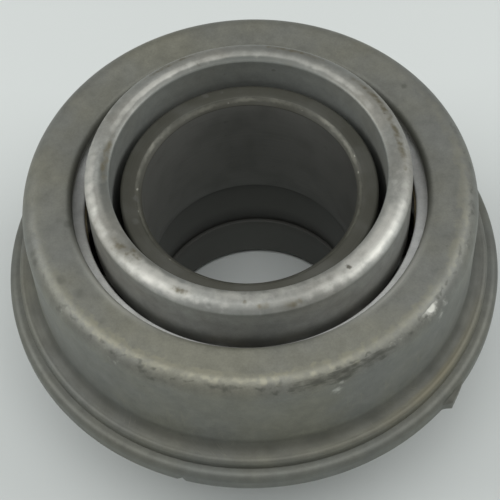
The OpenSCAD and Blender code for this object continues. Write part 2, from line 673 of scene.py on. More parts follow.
class LapMarks(Effect):
    """Fine lines that run round the axis, as a lathe or a part that rubs on it leaves them.

    Attributes:
        mean_radius: Radius at which Length is true, in millimetres.
        detail: Fineness of the lines.
        roughness: Share of the finest ones.
    """

    name = "lap_marks"
    takes = {"Pitch": 0.3, "Length": 12.0}
    gives = ("Value",)
    mean_radius = 30.0
    detail = 3.0
    roughness = 0.65

    @classmethod
    def lay(cls, shader: Shader, entry: bpy.types.NodeOutputs) -> dict[str, Socket]:
        """Lays the group's nodes.

        Args:
            shader: The group's shader.
            entry: The group's inputs.

        Returns:
            What each output takes.
        """
        ring = shader.group(AboutAxis, {"Place": entry["Place"]})
        flat = shader.vector("MULTIPLY", {0: entry["Place"], 1: (1.0, 1.0, 0.0)})
        heading = shader.vector("NORMALIZE", {0: flat})
        turns = shader.math("DIVIDE", cls.mean_radius, entry["Length"])
        around = shader.vector("SCALE", {0: heading, "Scale": turns})
        lines = shader.node("CombineXYZ", {"Z": shader.math("DIVIDE", ring["Radius"], entry["Pitch"])})
        feeds = {
            "Vector": shader.vector("ADD", {0: around, 1: lines.outputs[0]}),
            "W": shader.math("DIVIDE", ring["Height"], entry["Pitch"]),
            "Scale": 1.0,
            "Detail": cls.detail,
            "Roughness": cls.roughness,
        }
        return {"Value": shader.node("TexNoise", feeds, noise_dimensions="4D").outputs["Fac"]}


class Mottling(Effect):
    """Uneven tone of old steel: broad clouds, blotches and a fine grain.

    Attributes:
        detail: Fineness of the borders.
        roughness: Share of the finest parts.
    """

    name = "mottling"
    takes = {"Cloud": 20.0, "Blotch": 2.5, "Grain": 0.35}
    gives = ("Clouds", "Blotches", "Grains")
    detail = 3.0
    roughness = 0.6

    @classmethod
    def lay(cls, shader: Shader, entry: bpy.types.NodeOutputs) -> dict[str, Socket]:
        """Lays the group's nodes.

        Args:
            shader: The group's shader.
            entry: The group's inputs.

        Returns:
            What each output takes.
        """
        results = {}
        for size, output in zip(cls.takes, cls.gives):
            feeds = {
                "Vector": entry["Place"],
                "Scale": shader.math("DIVIDE", 1.0 / MM, entry[size]),
                "Detail": cls.detail,
                "Roughness": cls.roughness,
            }
            results[output] = shader.node("TexNoise", feeds).outputs["Fac"]
        return results


class Specks(Effect):
    """Small scattered spots with uneven borders.

    Attributes:
        wave: Width of a border's waves, in millimetres.
        bend: How far they move it, in millimetres.
        detail: Fineness of the waves.
        soft: Softness of a border, in cells.
    """

    name = "specks"
    takes = {"Spacing": 3.0, "Share": 0.4, "Spot": 0.16}
    gives = ("Mask",)
    wave = 0.55
    bend = 0.7
    detail = 2.0
    soft = 0.04

    @classmethod
    def lay(cls, shader: Shader, entry: bpy.types.NodeOutputs) -> dict[str, Socket]:
        """Lays the group's nodes.

        Args:
            shader: The group's shader.
            entry: The group's inputs.

        Returns:
            What each output takes.
        """
        feeds = {"Vector": entry["Place"], "Scale": 1.0 / (cls.wave * MM), "Detail": cls.detail}
        waves = shader.node("TexNoise", feeds).outputs["Color"]
        offset = shader.vector("SCALE", {0: waves, "Scale": cls.bend * MM})
        bent = shader.vector("ADD", {0: entry["Place"], 1: offset})
        scale = shader.math("DIVIDE", 1.0 / MM, entry["Spacing"])
        cells = shader.node("TexVoronoi", {"Vector": bent, "Scale": scale}).outputs
        chance = shader.node("SeparateColor", {"Color": cells["Color"]}).outputs["Red"]
        inside = shader.math("SUBTRACT", shader.times(entry["Spot"], chance), cells["Distance"])
        kept = shader.math("LESS_THAN", chance, entry["Share"])
        return {"Mask": shader.times(shader.ease(inside, -cls.soft, cls.soft), kept)}


class Scratches(Effect):
    """Thin straight scratches in a few directions, in loose patches.

    Attributes:
        headings: The directions, in radians.
        line_detail: Fineness of a scratch.
        middle: Noise along which a scratch runs.
        cut: Noise on either side over which it ends.
        patch: Width of a patch, in millimetres.
        patch_detail: Fineness of a patch.
        level: Noise at which patches start when Share is 0.
        level_fall: How far Share lowers it.
    """

    name = "scratches"
    takes = {"Length": 14.0, "Width": 0.5, "Share": 0.3}
    gives = ("Mask",)
    headings = (0.35, 1.5, 2.4)
    line_detail = 1.0
    middle = 0.5
    cut = Range(0.01, 0.002)
    patch = 9.0
    patch_detail = 2.0
    level = 0.75
    level_fall = 0.5

    @classmethod
    def lay(cls, shader: Shader, entry: bpy.types.NodeOutputs) -> dict[str, Socket]:
        """Lays the group's nodes.

        Args:
            shader: The group's shader.
            entry: The group's inputs.

        Returns:
            What each output takes.
        """
        along = shader.math("DIVIDE", 1.0 / MM, entry["Length"])
        across = shader.math("DIVIDE", 1.0 / MM, entry["Width"])
        stretch = shader.node("CombineXYZ", {"X": across, "Y": along, "Z": along}).outputs[0]
        edge = shader.math("SUBTRACT", cls.level, shader.times(entry["Share"], cls.level_fall))
        total = None
        for heading in cls.headings:
            feeds = {"Vector": entry["Place"], "Angle": heading}
            turned = shader.node("VectorRotate", feeds, rotation_type="Z_AXIS").outputs[0]
            drawn = shader.vector("MULTIPLY", {0: turned, 1: stretch})
            feeds = {"Vector": drawn, "Scale": 1.0, "Detail": cls.line_detail}
            waves = shader.node("TexNoise", feeds).outputs["Fac"]
            off = shader.math("ABSOLUTE", shader.math("SUBTRACT", waves, cls.middle))
            kept = shader.math("GREATER_THAN", shader.noise(turned, cls.patch, cls.patch_detail), edge)
            line = shader.times(shader.ease(off, *cls.cut), kept)
            total = line if total is None else shader.math("MAXIMUM", total, line)
        return {"Mask": total}


class Stains(Effect):
    """Dried stains with uneven borders.

    Attributes:
        look: Fineness and waviness of the borders.
        level: Noise at which stains start when Share is 0.
        level_fall: How far Share lowers it.
        soft: Softness of a border.
    """

    name = "stains"
    takes = {"Patch": 5.0, "Share": 0.4}
    gives = ("Mask",)
    look = {"Detail": 5.0, "Roughness": 0.62, "Distortion": 0.4}
    level = 0.78
    level_fall = 0.5
    soft = 0.05

    @classmethod
    def lay(cls, shader: Shader, entry: bpy.types.NodeOutputs) -> dict[str, Socket]:
        """Lays the group's nodes.

        Args:
            shader: The group's shader.
            entry: The group's inputs.

        Returns:
            What each output takes.
        """
        scale = shader.math("DIVIDE", 1.0 / MM, entry["Patch"])
        feeds = {"Vector": entry["Place"], "Scale": scale, **cls.look}
        cloud = shader.node("TexNoise", feeds).outputs["Fac"]
        level = shader.math("SUBTRACT", cls.level, shader.times(entry["Share"], cls.level_fall))
        return {"Mask": shader.ease(shader.math("SUBTRACT", cloud, level), -cls.soft, cls.soft)}


class Coat(NamedTuple):
    """What a finish feeds to its shader.

    Attributes:
        colour: Base colour.
        metallic: How far the surface reflects as bare metal.
        roughness: Its roughness.
        height: Its fine relief, from 0 to 1.
    """

    colour: Socket
    metallic: Feed
    roughness: Socket
    height: Socket


@dataclass(frozen=True)
class Finish:
    """What every steel finish has.

    Attributes:
        name: Name of its material.
        tone: Its main colour.
        warm: Colour that its clouds lean to.
        metallic: How far it reflects as bare metal.
        roughness: Its mean roughness.
        relief: Height of its fine relief, in millimetres.
        cloud_edge: Noise over which a cloud sets in.
        blotchy: Brightness of its blotches.
        grainy: Brightness of its grain.
        gloss: Roughness that the grain takes off and adds.
        grain_relief: Share of the grain in the relief.
        line_relief: Share of the lap marks in the relief.
    """

    name: str
    tone: Tone
    warm: Tone
    metallic: float
    roughness: float
    relief: float = 0.02
    cloud_edge: Range = Range(0.35, 0.68)
    blotchy: Range = Range(0.7, 1.3)
    grainy: Range = Range(0.84, 1.16)
    gloss: Range = Range(-0.05, 0.05)
    grain_relief: float = 0.3
    line_relief: float = 0.5

    def material(self) -> bpy.types.Material:
        """Builds the finish.

        Returns:
            Its material, with the nodes laid.
        """
        made = bpy.data.materials.new(self.name)
        made.use_nodes = True
        made.node_tree.nodes.clear()
        made.diffuse_color = self.tone.linear()
        shader = Shader(made.node_tree)
        coat = self.paint(shader, shader.node("TexCoord").outputs["Object"])
        bump = shader.node("Bump", {"Height": coat.height, "Distance": self.relief * MM})
        skin = shader.node("BsdfPrincipled", {
            "Base Color": coat.colour,
            "Metallic": coat.metallic,
            "Roughness": coat.roughness,
            "Normal": bump.outputs["Normal"],
        })
        shader.node("OutputMaterial", {"Surface": skin.outputs["BSDF"]})
        return made

    def paint(self, shader: Shader, place: Socket) -> Coat:
        """Lays the nodes of the surface.

        Args:
            shader: The material's shader.
            place: Object coordinates.

        Returns:
            What goes to the shader.
        """
        raise NotImplementedError

    def uneven(self, shader: Shader, place: Socket, sizes: Feeds) -> tuple[Socket, Socket]:
        """Lays the main colour with its clouds, blotches and grain.

        Args:
            shader: The material's shader.
            place: Object coordinates.
            sizes: Sizes for the mottling.

        Returns:
            Colour, and the grain for the height.
        """
        mottle = shader.group(Mottling, {"Place": place, **sizes})
        clouds = shader.ease(mottle["Clouds"], *self.cloud_edge)
        colour = shader.blend(clouds, self.tone.linear(), self.warm.linear())
        colour = shader.scaled(colour, shader.span(mottle["Blotches"], *self.blotchy))
        colour = shader.scaled(colour, shader.span(mottle["Grains"], *self.grainy))
        return colour, mottle["Grains"]

    def dull(self, shader: Shader, grain: Socket) -> Socket:
        """Returns the roughness with its uneven gloss."""
        return shader.math("ADD", self.roughness, shader.span(grain, *self.gloss))

    def worked(self, shader: Shader, grain: Socket, lines: Socket) -> Socket:
        """Returns the relief of the grain and the lap marks."""
        fine = shader.times(grain, self.grain_relief)
        return shader.math("ADD", fine, shader.times(lines, self.line_relief))


@dataclass(frozen=True)
class DrawnSteel(Finish):
    """Dull phosphated skin of the pressed cover, with a painted highlight along its shoulder and galling
    below it.

    Attributes:
        rubbed_and_sheen: Colour of the painted highlight along the shoulder, and of the light scratches.
        lip_highlight: Colour of the painted highlight on the mouth's edge.
        bare: Colour of a fresh chip.
        grime_and_shade: Colour of soiling, pits and painted shade.
        rust: Colour of the thin rust on the foot.
        sheen_band: Radii between which the shoulder carries a painted highlight.
        sheen_soft: Softness of that band's borders.
        sheen_z: Heights over which the painted highlight sets in.
        sheen_sway: Fine unevenness of its borders.
        sheen_drift: Broad unevenness of its borders.
        sheen_faint: Where the band is faint.
        sheen_broken: Where it is broken up.
        sheen_gloss: Roughness that the highlighted band loses.
        shade_line_band: Radii between which painted shade borders the band.
        shade_line_soft: Softness of that border.
        shade_line_z: Heights over which the border sets in.
        shade_line_sway: Unevenness of the border.
        shade_line_flecks: Flecks that the border is made of.
        shade_line_end: Galling over which the border ends.
        hollow_z: Heights over which painted shade fills the hollow above the foot.
        hollow_r: Radii over which it ends.
        hollow_size: Width of its patches.
        hollow_share: Strength of its patches.
        foot_r: Radii over which the soiling of the foot sets in.
        foot_share: How soiled the foot is.
        soil_and_shade_dull: Roughness that the soiling and the painted shade add.
        scuff_streaks: How far streaks break up the galling.
        scuff_sway: How far its borders are uneven.
        scuff_edge: Strength over which the galling shows.
        scuff_zone: Strength over which its zone sets in.
        scuff_share: How dark the galling is.
        smear_sway: Unevenness of the light smears.
        smear_edge: Strength over which a smear shows.
        smear_share: How light a smear is.
        spot_sway: Unevenness of the soft spots.
        spot_edge: Strength over which a spot shows.
        spot_share: How dark the spots are.
        pit_edge: Depth over which a galled pit darkens.
        pit_share: How dark the pits are.
        lip_edge: Strength over which the painted highlight on the mouth's edge shows.
        lip_lines: How far lap marks break it up.
        lip_share: How light it is.
        rust_size: Width of a patch of rust.
        rust_share: Strength of the rust's patches.
        cut_share: How light the scratches are.
        cut_relief: Depth of the scratches in the relief.
    """

    gloss: Range = Range(-0.06, 0.06)
    grain_relief: float = 0.5
    line_relief: float = 0.25
    rubbed_and_sheen: Tone = Tone(136, 135, 119)
    lip_highlight: Tone = Tone(198, 199, 191)
    bare: Tone = Tone(208, 209, 200)
    grime_and_shade: Tone = Tone(72, 73, 66)
    rust: Tone = Tone(132, 124, 94)
    sheen_band: Range = Range(33.9, 35.4)
    sheen_soft: float = 0.5
    sheen_z: Range = Range(45.9, 46.3)
    sheen_sway: Sway = Sway(1.4, 0.8)
    sheen_drift: Sway = Sway(24.0, 0.35)
    sheen_faint: Patches = Patches(26.0, Range(0.38, 0.6), Range(0.4, 1.0), 2.0)
    sheen_broken: Patches = Patches(1.7, Range(0.36, 0.6), Range(0.3, 1.15))
    sheen_gloss: float = 0.1
    shade_line_band: Range = Range(35.75, 36.25)
    shade_line_soft: float = 0.3
    shade_line_z: Range = Range(44.9, 45.3)
    shade_line_sway: Sway = Sway(2.6, 0.9)
    shade_line_flecks: Patches = Patches(1.6, Range(0.44, 0.62), Range(0.0, 0.7))
    shade_line_end: Range = Range(0.5, 0.0)
    hollow_z: Range = Range(FOOT_TOP + 3.2, FOOT_TOP + 0.5)
    hollow_r: Range = Range(WALL_R + 2.3, WALL_R + 1.2)
    hollow_size: float = 4.0
    hollow_share: Range = Range(0.3, 0.9)
    foot_r: Range = Range(WALL_R + 0.9, WALL_R + 1.9)
    foot_share: float = 0.3
    soil_and_shade_dull: float = 0.2
    scuff_streaks: Range = Range(-1.5, 1.5)
    scuff_sway: Sway = Sway(3.0, 0.5)
    scuff_edge: Range = Range(0.5, 1.5)
    scuff_zone: Range = Range(0.1, 0.6)
    scuff_share: float = 0.75
    smear_sway: Sway = Sway(0.7, 0.35)
    smear_edge: Range = Range(0.25, 1.1)
    smear_share: float = 0.6
    spot_sway: Sway = Sway(1.2, 0.3)
    spot_edge: Range = Range(0.2, 0.9)
    spot_share: float = 0.45
    pit_edge: Range = Range(0.0, 0.8)
    pit_share: float = 0.4
    lip_edge: Range = Range(0.0, 0.7)
    lip_lines: Range = Range(0.5, 1.2)
    lip_share: float = 0.8
    rust_size: float = 2.2
    rust_share: Range = Range(0.4, 1.3)
    cut_share: float = 0.25
    cut_relief: float = 0.3

    def shoulder_sheen(self, shader: Shader, place: Socket, ring: bpy.types.NodeOutputs) -> Socket:
        """Lays the painted highlight along the shoulder, strongest on the front side.

        Args:
            shader: The material's shader.
            place: Object coordinates.
            ring: Distance from the axis and height.

        Returns:
            Its mask.
        """
        sway = shader.math("ADD", shader.sway(place, self.sheen_sway), shader.sway(place, self.sheen_drift))
        band = shader.band(shader.math("ADD", ring["Radius"], sway), self.sheen_band, self.sheen_soft)
        high = shader.ease(ring["Height"], *self.sheen_z)
        faint = shader.patches(place, self.sheen_faint)
        broken = shader.patches(place, self.sheen_broken)
        return shader.times(band, high, faint, broken, shader.mark("sheen_facing"))

    def border(self, shader: Shader, place: Socket, ring: bpy.types.NodeOutputs) -> Socket:
        """Lays the flecks of painted shade below the highlight band, clear of the galling.

        Args:
            shader: The material's shader.
            place: Object coordinates.
            ring: Distance from the axis and height.

        Returns:
            Their mask.
        """
        swayed = shader.math("ADD", ring["Radius"], shader.sway(place, self.shade_line_sway))
        band = shader.band(swayed, self.shade_line_band, self.shade_line_soft)
        high = shader.ease(ring["Height"], *self.shade_line_z)
        flecks = shader.patches(place, self.shade_line_flecks)
        clear = shader.ease(shader.mark("scuff"), *self.shade_line_end)
        return shader.times(band, high, flecks, shader.mark("sheen_facing"), clear)

    def soil_and_shade(self, shader: Shader, place: Socket, ring: bpy.types.NodeOutputs) -> Socket:
        """Lays the painted shade in the hollow above the foot, the soiling on the foot, and the darkening
        of the mouth's edge: painted shade at its sides and a soiled line at its back.

        Args:
            shader: The material's shader.
            place: Object coordinates.
            ring: Distance from the axis and height.

        Returns:
            Its mask.
        """
        low = shader.ease(ring["Height"], *self.hollow_z)
        inside = shader.ease(ring["Radius"], *self.hollow_r)
        patches = shader.span(shader.noise(place, self.hollow_size), *self.hollow_share)
        hollow = shader.times(low, inside, patches)
        foot = shader.times(shader.ease(ring["Radius"], *self.foot_r), self.foot_share)
        return shader.math("MAXIMUM", shader.math("MAXIMUM", hollow, foot), shader.mark("lip_soil_and_shade"))

    def scuff(self, shader: Shader, place: Socket) -> Socket:
        """Lays the dark streaks of the galling.

        Args:
            shader: The material's shader.
            place: Object coordinates.

        Returns:
            Their mask.
        """
        zone = shader.mark("scuff")
        streaks = shader.group(LapMarks, {"Place": place, "Pitch": 0.8, "Length": 2.6})["Value"]
        mask = shader.math("ADD", zone, shader.span(streaks, *self.scuff_streaks))
        mask = shader.math("ADD", mask, shader.sway(place, self.scuff_sway))
        zone = shader.ease(zone, *self.scuff_zone)
        return shader.times(shader.ease(mask, *self.scuff_edge), zone, self.scuff_share)

    def paint(self, shader: Shader, place: Socket) -> Coat:
        """Lays the nodes of the surface.

        Args:
            shader: The material's shader.
            place: Object coordinates.

        Returns:
            What goes to the shader.
        """
        ring = shader.group(AboutAxis, {"Place": place})
        colour, grain = self.uneven(shader, place, {"Cloud": 24.0, "Blotch": 2.4, "Grain": 0.3})
        lines = shader.group(LapMarks, {"Place": place, "Pitch": 0.35, "Length": 14.0})["Value"]
        specks = shader.group(Specks, {"Place": place, "Spacing": 5.0, "Share": 0.5, "Spot": 0.2})["Mask"]
        cuts = shader.group(Scratches, {"Place": place, "Length": 18.0, "Width": 0.6, "Share": 0.3})["Mask"]
        # The shoulder's painted highlight, broken up in patches.
        worn_and_sheen = self.shoulder_sheen(shader, place, ring)
        # Painted shade in the hollow above the foot and at the mouth's sides, soiling on the foot and a
        # soiled line at the mouth's back.
        dirt_and_shade = self.soil_and_shade(shader, place, ring)
        # A broken line of painted shade below the shoulder's painted highlight.
        border = self.border(shader, place, ring)
        spots = shader.math("ADD", shader.mark("spots"), shader.sway(place, self.spot_sway))
        spots = shader.math("MAXIMUM", specks, shader.ease(spots, *self.spot_edge))
        smear = shader.math("ADD", shader.mark("smear"), shader.sway(place, self.smear_sway))
        smear = shader.ease(smear, *self.smear_edge)
        pit = shader.ease(shader.mark("galling"), *self.pit_edge)
        # Painted highlight on the mouth's edge, at the front left and right.
        lip = shader.ease(shader.mark("lip"), *self.lip_edge)
        lip = shader.times(lip, shader.span(lines, *self.lip_lines), self.lip_share)
        rusty = shader.span(shader.noise(place, self.rust_size), *self.rust_share)
        colour = shader.layers(colour, (
            (worn_and_sheen, self.rubbed_and_sheen),
            (lip, self.lip_highlight),
            (shader.times(shader.mark("rust"), rusty), self.rust),
            (shader.math("MAXIMUM", dirt_and_shade, border), self.grime_and_shade),
            (shader.times(spots, self.spot_share), self.grime_and_shade),
            (shader.times(cuts, self.cut_share), self.rubbed_and_sheen),
            (shader.times(smear, self.smear_share), self.bare),
            (self.scuff(shader, place), self.grime_and_shade),
            (shader.times(pit, self.pit_share), self.grime_and_shade),
            (shader.ease(shader.mark("chip"), *WHOLE), self.bare),
        ))
        rough = shader.math("SUBTRACT", self.dull(shader, grain), shader.times(worn_and_sheen, self.sheen_gloss))
        rough = shader.math("ADD", rough, shader.times(dirt_and_shade, self.soil_and_shade_dull))
        height = self.worked(shader, grain, lines)
        height = shader.math("SUBTRACT", height, shader.times(cuts, self.cut_relief))
        return Coat(colour, self.metallic, rough, height)


@dataclass(frozen=True)
class TurnedSteel(Finish):
    """Turned skin of the hub: satin flange, greasy sleeve and bore with painted shade in the lower bore,
    and a painted highlight along the bore's edge.

    Attributes:
        rim: Colour of the sleeve's top rim.
        bore: Colour of the bore.
        oily_and_shade: Colour of old oil, and of the grease in the lower bore, which also serves as its
            painted shade.
        edge_highlight: Colour of the painted highlight along the bore's edge.
        glint: Colour of the painted glints on small nicks along that edge.
        sludge_and_shade: Colour of the old grease in the bore, and of the painted shade just above the
            ledge under the relief.
        sleeve_r: Radii over which the sleeve starts.
        sleeve_z: Heights over which its dark part starts.
        rim_lines: How far lap marks show on the rim.
        wall_r: Radii over which the bore's wall starts.
        wall_z: Heights over which it starts.
        wall_lines: How far lap marks show on it.
        hidden_r: Radii over which the grease relief starts.
        deep_z: Heights over which it starts.
        ledge_shade_z: Heights over which the painted shade darkens towards the ledge.
        ledge_z: Heights of the ledge under the relief.
        ledge_r: Radii over which the ledge starts.
        ledge_share: How dark the painted shade above the ledge is.
        oil: Patches of old oil all over.
        edge_band: Radii between which the painted highlight lies on the bore's edge.
        edge_soft: Softness of that line.
        edge_sway: Fine unevenness of it.
        edge_drift: Broad unevenness of it.
        edge_z: Heights over which it starts.
        edge_patches: Where it is broken up.
        edge_gloss: Roughness that the highlighted edge loses.
        glint_edge: Strength of the edge highlight over which the glints show.
        spot_share: How dark the specks are.
    """

    grain_relief: float = 0.4
    rim: Tone = Tone(71, 71, 63)
    bore: Tone = Tone(122, 123, 118)
    oily_and_shade: Tone = Tone(94, 95, 90)
    edge_highlight: Tone = Tone(108, 108, 98)
    glint: Tone = Tone(150, 150, 140)
    sludge_and_shade: Tone = Tone(46, 46, 43)
    sleeve_r: Range = Range(SLEEVE_R + 1.2, SLEEVE_R + 0.6)
    sleeve_z: Range = Range(HUB_TOP - 19.0, HUB_TOP - 17.0)
    rim_lines: Range = Range(0.75, 1.25)
    wall_r: Range = Range(BORE_R + 0.3, BORE_R + 0.1)
    wall_z: Range = Range(HUB_TOP - BORE_CHAMFER, HUB_TOP - BORE_CHAMFER - 0.2)
    wall_lines: Range = Range(0.85, 1.15)
    hidden_r: Range = Range(BORE_R + 1.2, BORE_R + 0.9)
    deep_z: Range = Range(HUB_TOP - 24.2, HUB_TOP - 25.0)
    ledge_shade_z: Range = Range(LOWER_LAND + 5.0, LOWER_LAND + 0.3)
    ledge_z: Range = Range(LOWER_LAND - 0.1, LOWER_LAND)
    ledge_r: Range = Range(BORE_R - 0.1, BORE_R + 0.1)
    ledge_share: float = 0.7
    oil: Patches = Patches(5.0, Range(0.4, 0.75), Range(0.0, 0.4))
    edge_band: Range = Range(BORE_R + 0.45 * BORE_CHAMFER, BORE_R + 0.85 * BORE_CHAMFER)
    edge_soft: float = 0.16
    edge_sway: Sway = Sway(0.7, 0.12)
    edge_drift: Sway = Sway(9.0, 0.22)
    edge_z: Range = Range(HUB_TOP - 1.3 * BORE_CHAMFER, HUB_TOP - BORE_CHAMFER)
    edge_patches: Patches = Patches(3.5, Range(0.4, 0.66), Range(0.3, 1.0))
    edge_gloss: float = 0.12
    glint_edge: Range = Range(0.1, 0.4)
    spot_share: float = 0.5

    def edge(self, shader: Shader, place: Socket, ring: bpy.types.NodeOutputs) -> Socket:
        """Lays the painted highlight along the bore's edge.

        Args:
            shader: The material's shader.
            place: Object coordinates.
            ring: Distance from the axis and height.

        Returns:
            Its mask.
        """
        sway = shader.math("ADD", shader.sway(place, self.edge_sway), shader.sway(place, self.edge_drift))
        line = shader.band(shader.math("ADD", ring["Radius"], sway), self.edge_band, self.edge_soft)
        high = shader.ease(ring["Height"], *self.edge_z)
        return shader.times(line, high, shader.patches(place, self.edge_patches))

    def paint(self, shader: Shader, place: Socket) -> Coat:
        """Lays the nodes of the surface.

        Args:
            shader: The material's shader.
            place: Object coordinates.

        Returns:
            What goes to the shader.
        """
        ring = shader.group(AboutAxis, {"Place": place})
        radius, height = ring["Radius"], ring["Height"]
        colour, grain = self.uneven(shader, place, {"Cloud": 22.0, "Blotch": 2.2, "Grain": 0.3})
        lines = shader.group(LapMarks, {"Place": place, "Pitch": 0.22, "Length": 30.0})["Value"]
        nicks = shader.group(Specks, {"Place": place, "Spacing": 1.2, "Share": 0.3, "Spot": 1.2})["Mask"]
        spots = shader.group(Specks, {"Place": place, "Spacing": 4.0, "Share": 0.5, "Spot": 0.3})["Mask"]

        sleeve = shader.times(shader.ease(radius, *self.sleeve_r), shader.ease(height, *self.sleeve_z))
        wall = shader.times(shader.ease(radius, *self.wall_r), shader.ease(height, *self.wall_z))
        hidden = shader.ease(radius, *self.hidden_r)
        # The lower bore takes the grease colour, which also serves as its painted shade.
        deep = shader.times(hidden, shader.ease(height, *self.deep_z))
        # Painted shade, darkest just above the ledge under the relief.
        ledge = shader.times(shader.ease(height, *self.ledge_shade_z), shader.ease(height, *self.ledge_z))
        ledge = shader.times(ledge, self.ledge_share, shader.ease(radius, *self.ledge_r), hidden)
        edge = self.edge(shader, place, ring)
        dark = shader.scaled(self.rim.linear()[:3], shader.span(lines, *self.rim_lines))
        inner = shader.scaled(self.bore.linear()[:3], shader.span(lines, *self.wall_lines))
        colour = shader.blend(sleeve, colour, dark)
        colour = shader.blend(wall, colour, inner)
        colour = shader.layers(colour, (
            (deep, self.oily_and_shade),
            (shader.patches(place, self.oil), self.oily_and_shade),
            (shader.math("MAXIMUM", ledge, shader.mark("soot")), self.sludge_and_shade),
            # Painted highlight along the bore's edge, with painted glints on it.
            (edge, self.edge_highlight),
            (shader.times(nicks, shader.ease(edge, *self.glint_edge)), self.glint),
            (shader.times(spots, self.spot_share), self.oily_and_shade),
        ))
        rough = shader.math("SUBTRACT", self.dull(shader, grain), shader.times(edge, self.edge_gloss))
        return Coat(colour, self.metallic, rough, self.worked(shader, grain, lines))


@dataclass(frozen=True)
class CrownSteel(Finish):
    """Hardened thrust ring: satin walls, and a crown with polish and stains from the clutch fingers; the
    polish is light enough to serve as painted highlights, and the walls carry painted shade low down.

    Attributes:
        polish_and_highlight: Colour of the polish on the crown, light enough to serve as a painted
            highlight.
        stain: Colour of the dried stains on it.
        dark: Colour of its pits and specks.
        grime_and_shade: Colour of the tarnish and of the painted shade low on its walls.
        inner: Colour of its bore.
        shine: How far the polish reflects as bare metal.
        crown_z: Heights over which the crown starts.
        wear_sway: Unevenness of the polish.
        wear_edge: Wear over which the polish sets in.
        wear_lines: How far lap marks show in it.
        wear_gloss: Roughness that it takes off.
        stain_sway: Unevenness of the stains.
        stain_edge: Strength over which a stain sets in.
        stain_crumbs: How a stain is broken up.
        stain_share: How dark the stains are.
        stain_gloss: Polish that is left between and under stains.
        patch_share: Strength of the faint stains all over.
        spot_share: Strength of the specks below and on the crown.
        low_shade_sway: Unevenness of the painted shade on the walls.
        low_shade_z: Heights over which it sets in.
        low_shade_share: How dark it is.
        inner_r: Radii over which the bore starts.
        inner_share: How far its colour covers the steel.
    """

    grain_relief: float = 0.25
    polish_and_highlight: Tone = Tone(196, 196, 188)
    stain: Tone = Tone(98, 94, 78)
    dark: Tone = Tone(66, 62, 50)
    grime_and_shade: Tone = Tone(80, 83, 78)
    inner: Tone = Tone(154, 163, 159)
    shine: float = 0.45
    crown_z: Range = Range(51.15, 51.55)
    wear_sway: Sway = Sway(1.6, 0.3)
    wear_edge: Range = Range(0.05, 1.05)
    wear_lines: Range = Range(0.7, 1.25)
    wear_gloss: float = 0.08
    stain_sway: Sway = Sway(0.8, 0.4)
    stain_edge: Range = Range(0.1, 1.1)
    stain_crumbs: Patches = Patches(1.3, Range(0.36, 0.62), Range(0.4, 1.15))
    stain_share: float = 0.85
    stain_gloss: Range = Range(1.0, 0.3)
    patch_share: float = 0.2
    spot_share: Range = Range(0.3, 0.8)
    low_shade_sway: Sway = Sway(3.0, 0.5)
    low_shade_z: Range = Range(46.5, 43.0)
    low_shade_share: float = 0.35
    inner_r: Range = Range(RING_BORE_R + 0.3, RING_BORE_R + 0.05)
    inner_share: float = 0.25

    def paint(self, shader: Shader, place: Socket) -> Coat:
        """Lays the nodes of the surface.

        Args:
            shader: The material's shader.
            place: Object coordinates.

        Returns:
            What goes to the shader.
        """
        ring = shader.group(AboutAxis, {"Place": place})
        colour, grain = self.uneven(shader, place, {"Cloud": 18.0, "Blotch": 1.8, "Grain": 0.28})
        lines = shader.group(LapMarks, {"Place": place, "Pitch": 0.16, "Length": 40.0})["Value"]
        patches = shader.group(Stains, {"Place": place, "Patch": 4.0, "Share": 0.3})["Mask"]
        spots = shader.group(Specks, {"Place": place, "Spacing": 4.5, "Share": 0.5, "Spot": 0.3})["Mask"]

        high = shader.ease(ring["Height"], *self.crown_z)
        # Polish on the crown, which also serves as painted highlights.
        worn_and_sheen = shader.math("ADD", shader.mark("wear_and_highlights"), shader.sway(place, self.wear_sway))
        worn_and_sheen = shader.ease(worn_and_sheen, *self.wear_edge)
        polish = shader.times(worn_and_sheen, high, shader.span(lines, *self.wear_lines))
        edge = shader.math("ADD", shader.mark("stains"), shader.sway(place, self.stain_sway))
        dried = shader.times(shader.ease(edge, *self.stain_edge), shader.patches(place, self.stain_crumbs))
        brown = shader.math("MAXIMUM", shader.times(patches, high, self.patch_share), dried)
        # Painted shade, darker towards the bottom of the ring's walls.
        low_shade = shader.math("ADD", ring["Height"], shader.sway(place, self.low_shade_sway))
        low_shade = shader.times(shader.ease(low_shade, *self.low_shade_z), self.low_shade_share)
        inside = shader.ease(ring["Radius"], *self.inner_r)
        colour = shader.layers(colour, (
            (shader.math("MAXIMUM", low_shade, shader.mark("tarnish")), self.grime_and_shade),
            (shader.times(inside, self.inner_share), self.inner),
            (polish, self.polish_and_highlight),
            (shader.times(brown, self.stain_share), self.stain),
            (shader.times(spots, shader.span(high, *self.spot_share)), self.dark),
        ))
        clean = shader.times(polish, shader.span(brown, *self.stain_gloss))
        metallic = shader.span(clean, self.metallic, self.shine)
        rough = shader.math("SUBTRACT", self.dull(shader, grain), shader.times(clean, self.wear_gloss))
        return Coat(colour, metallic, rough, self.worked(shader, grain, lines))


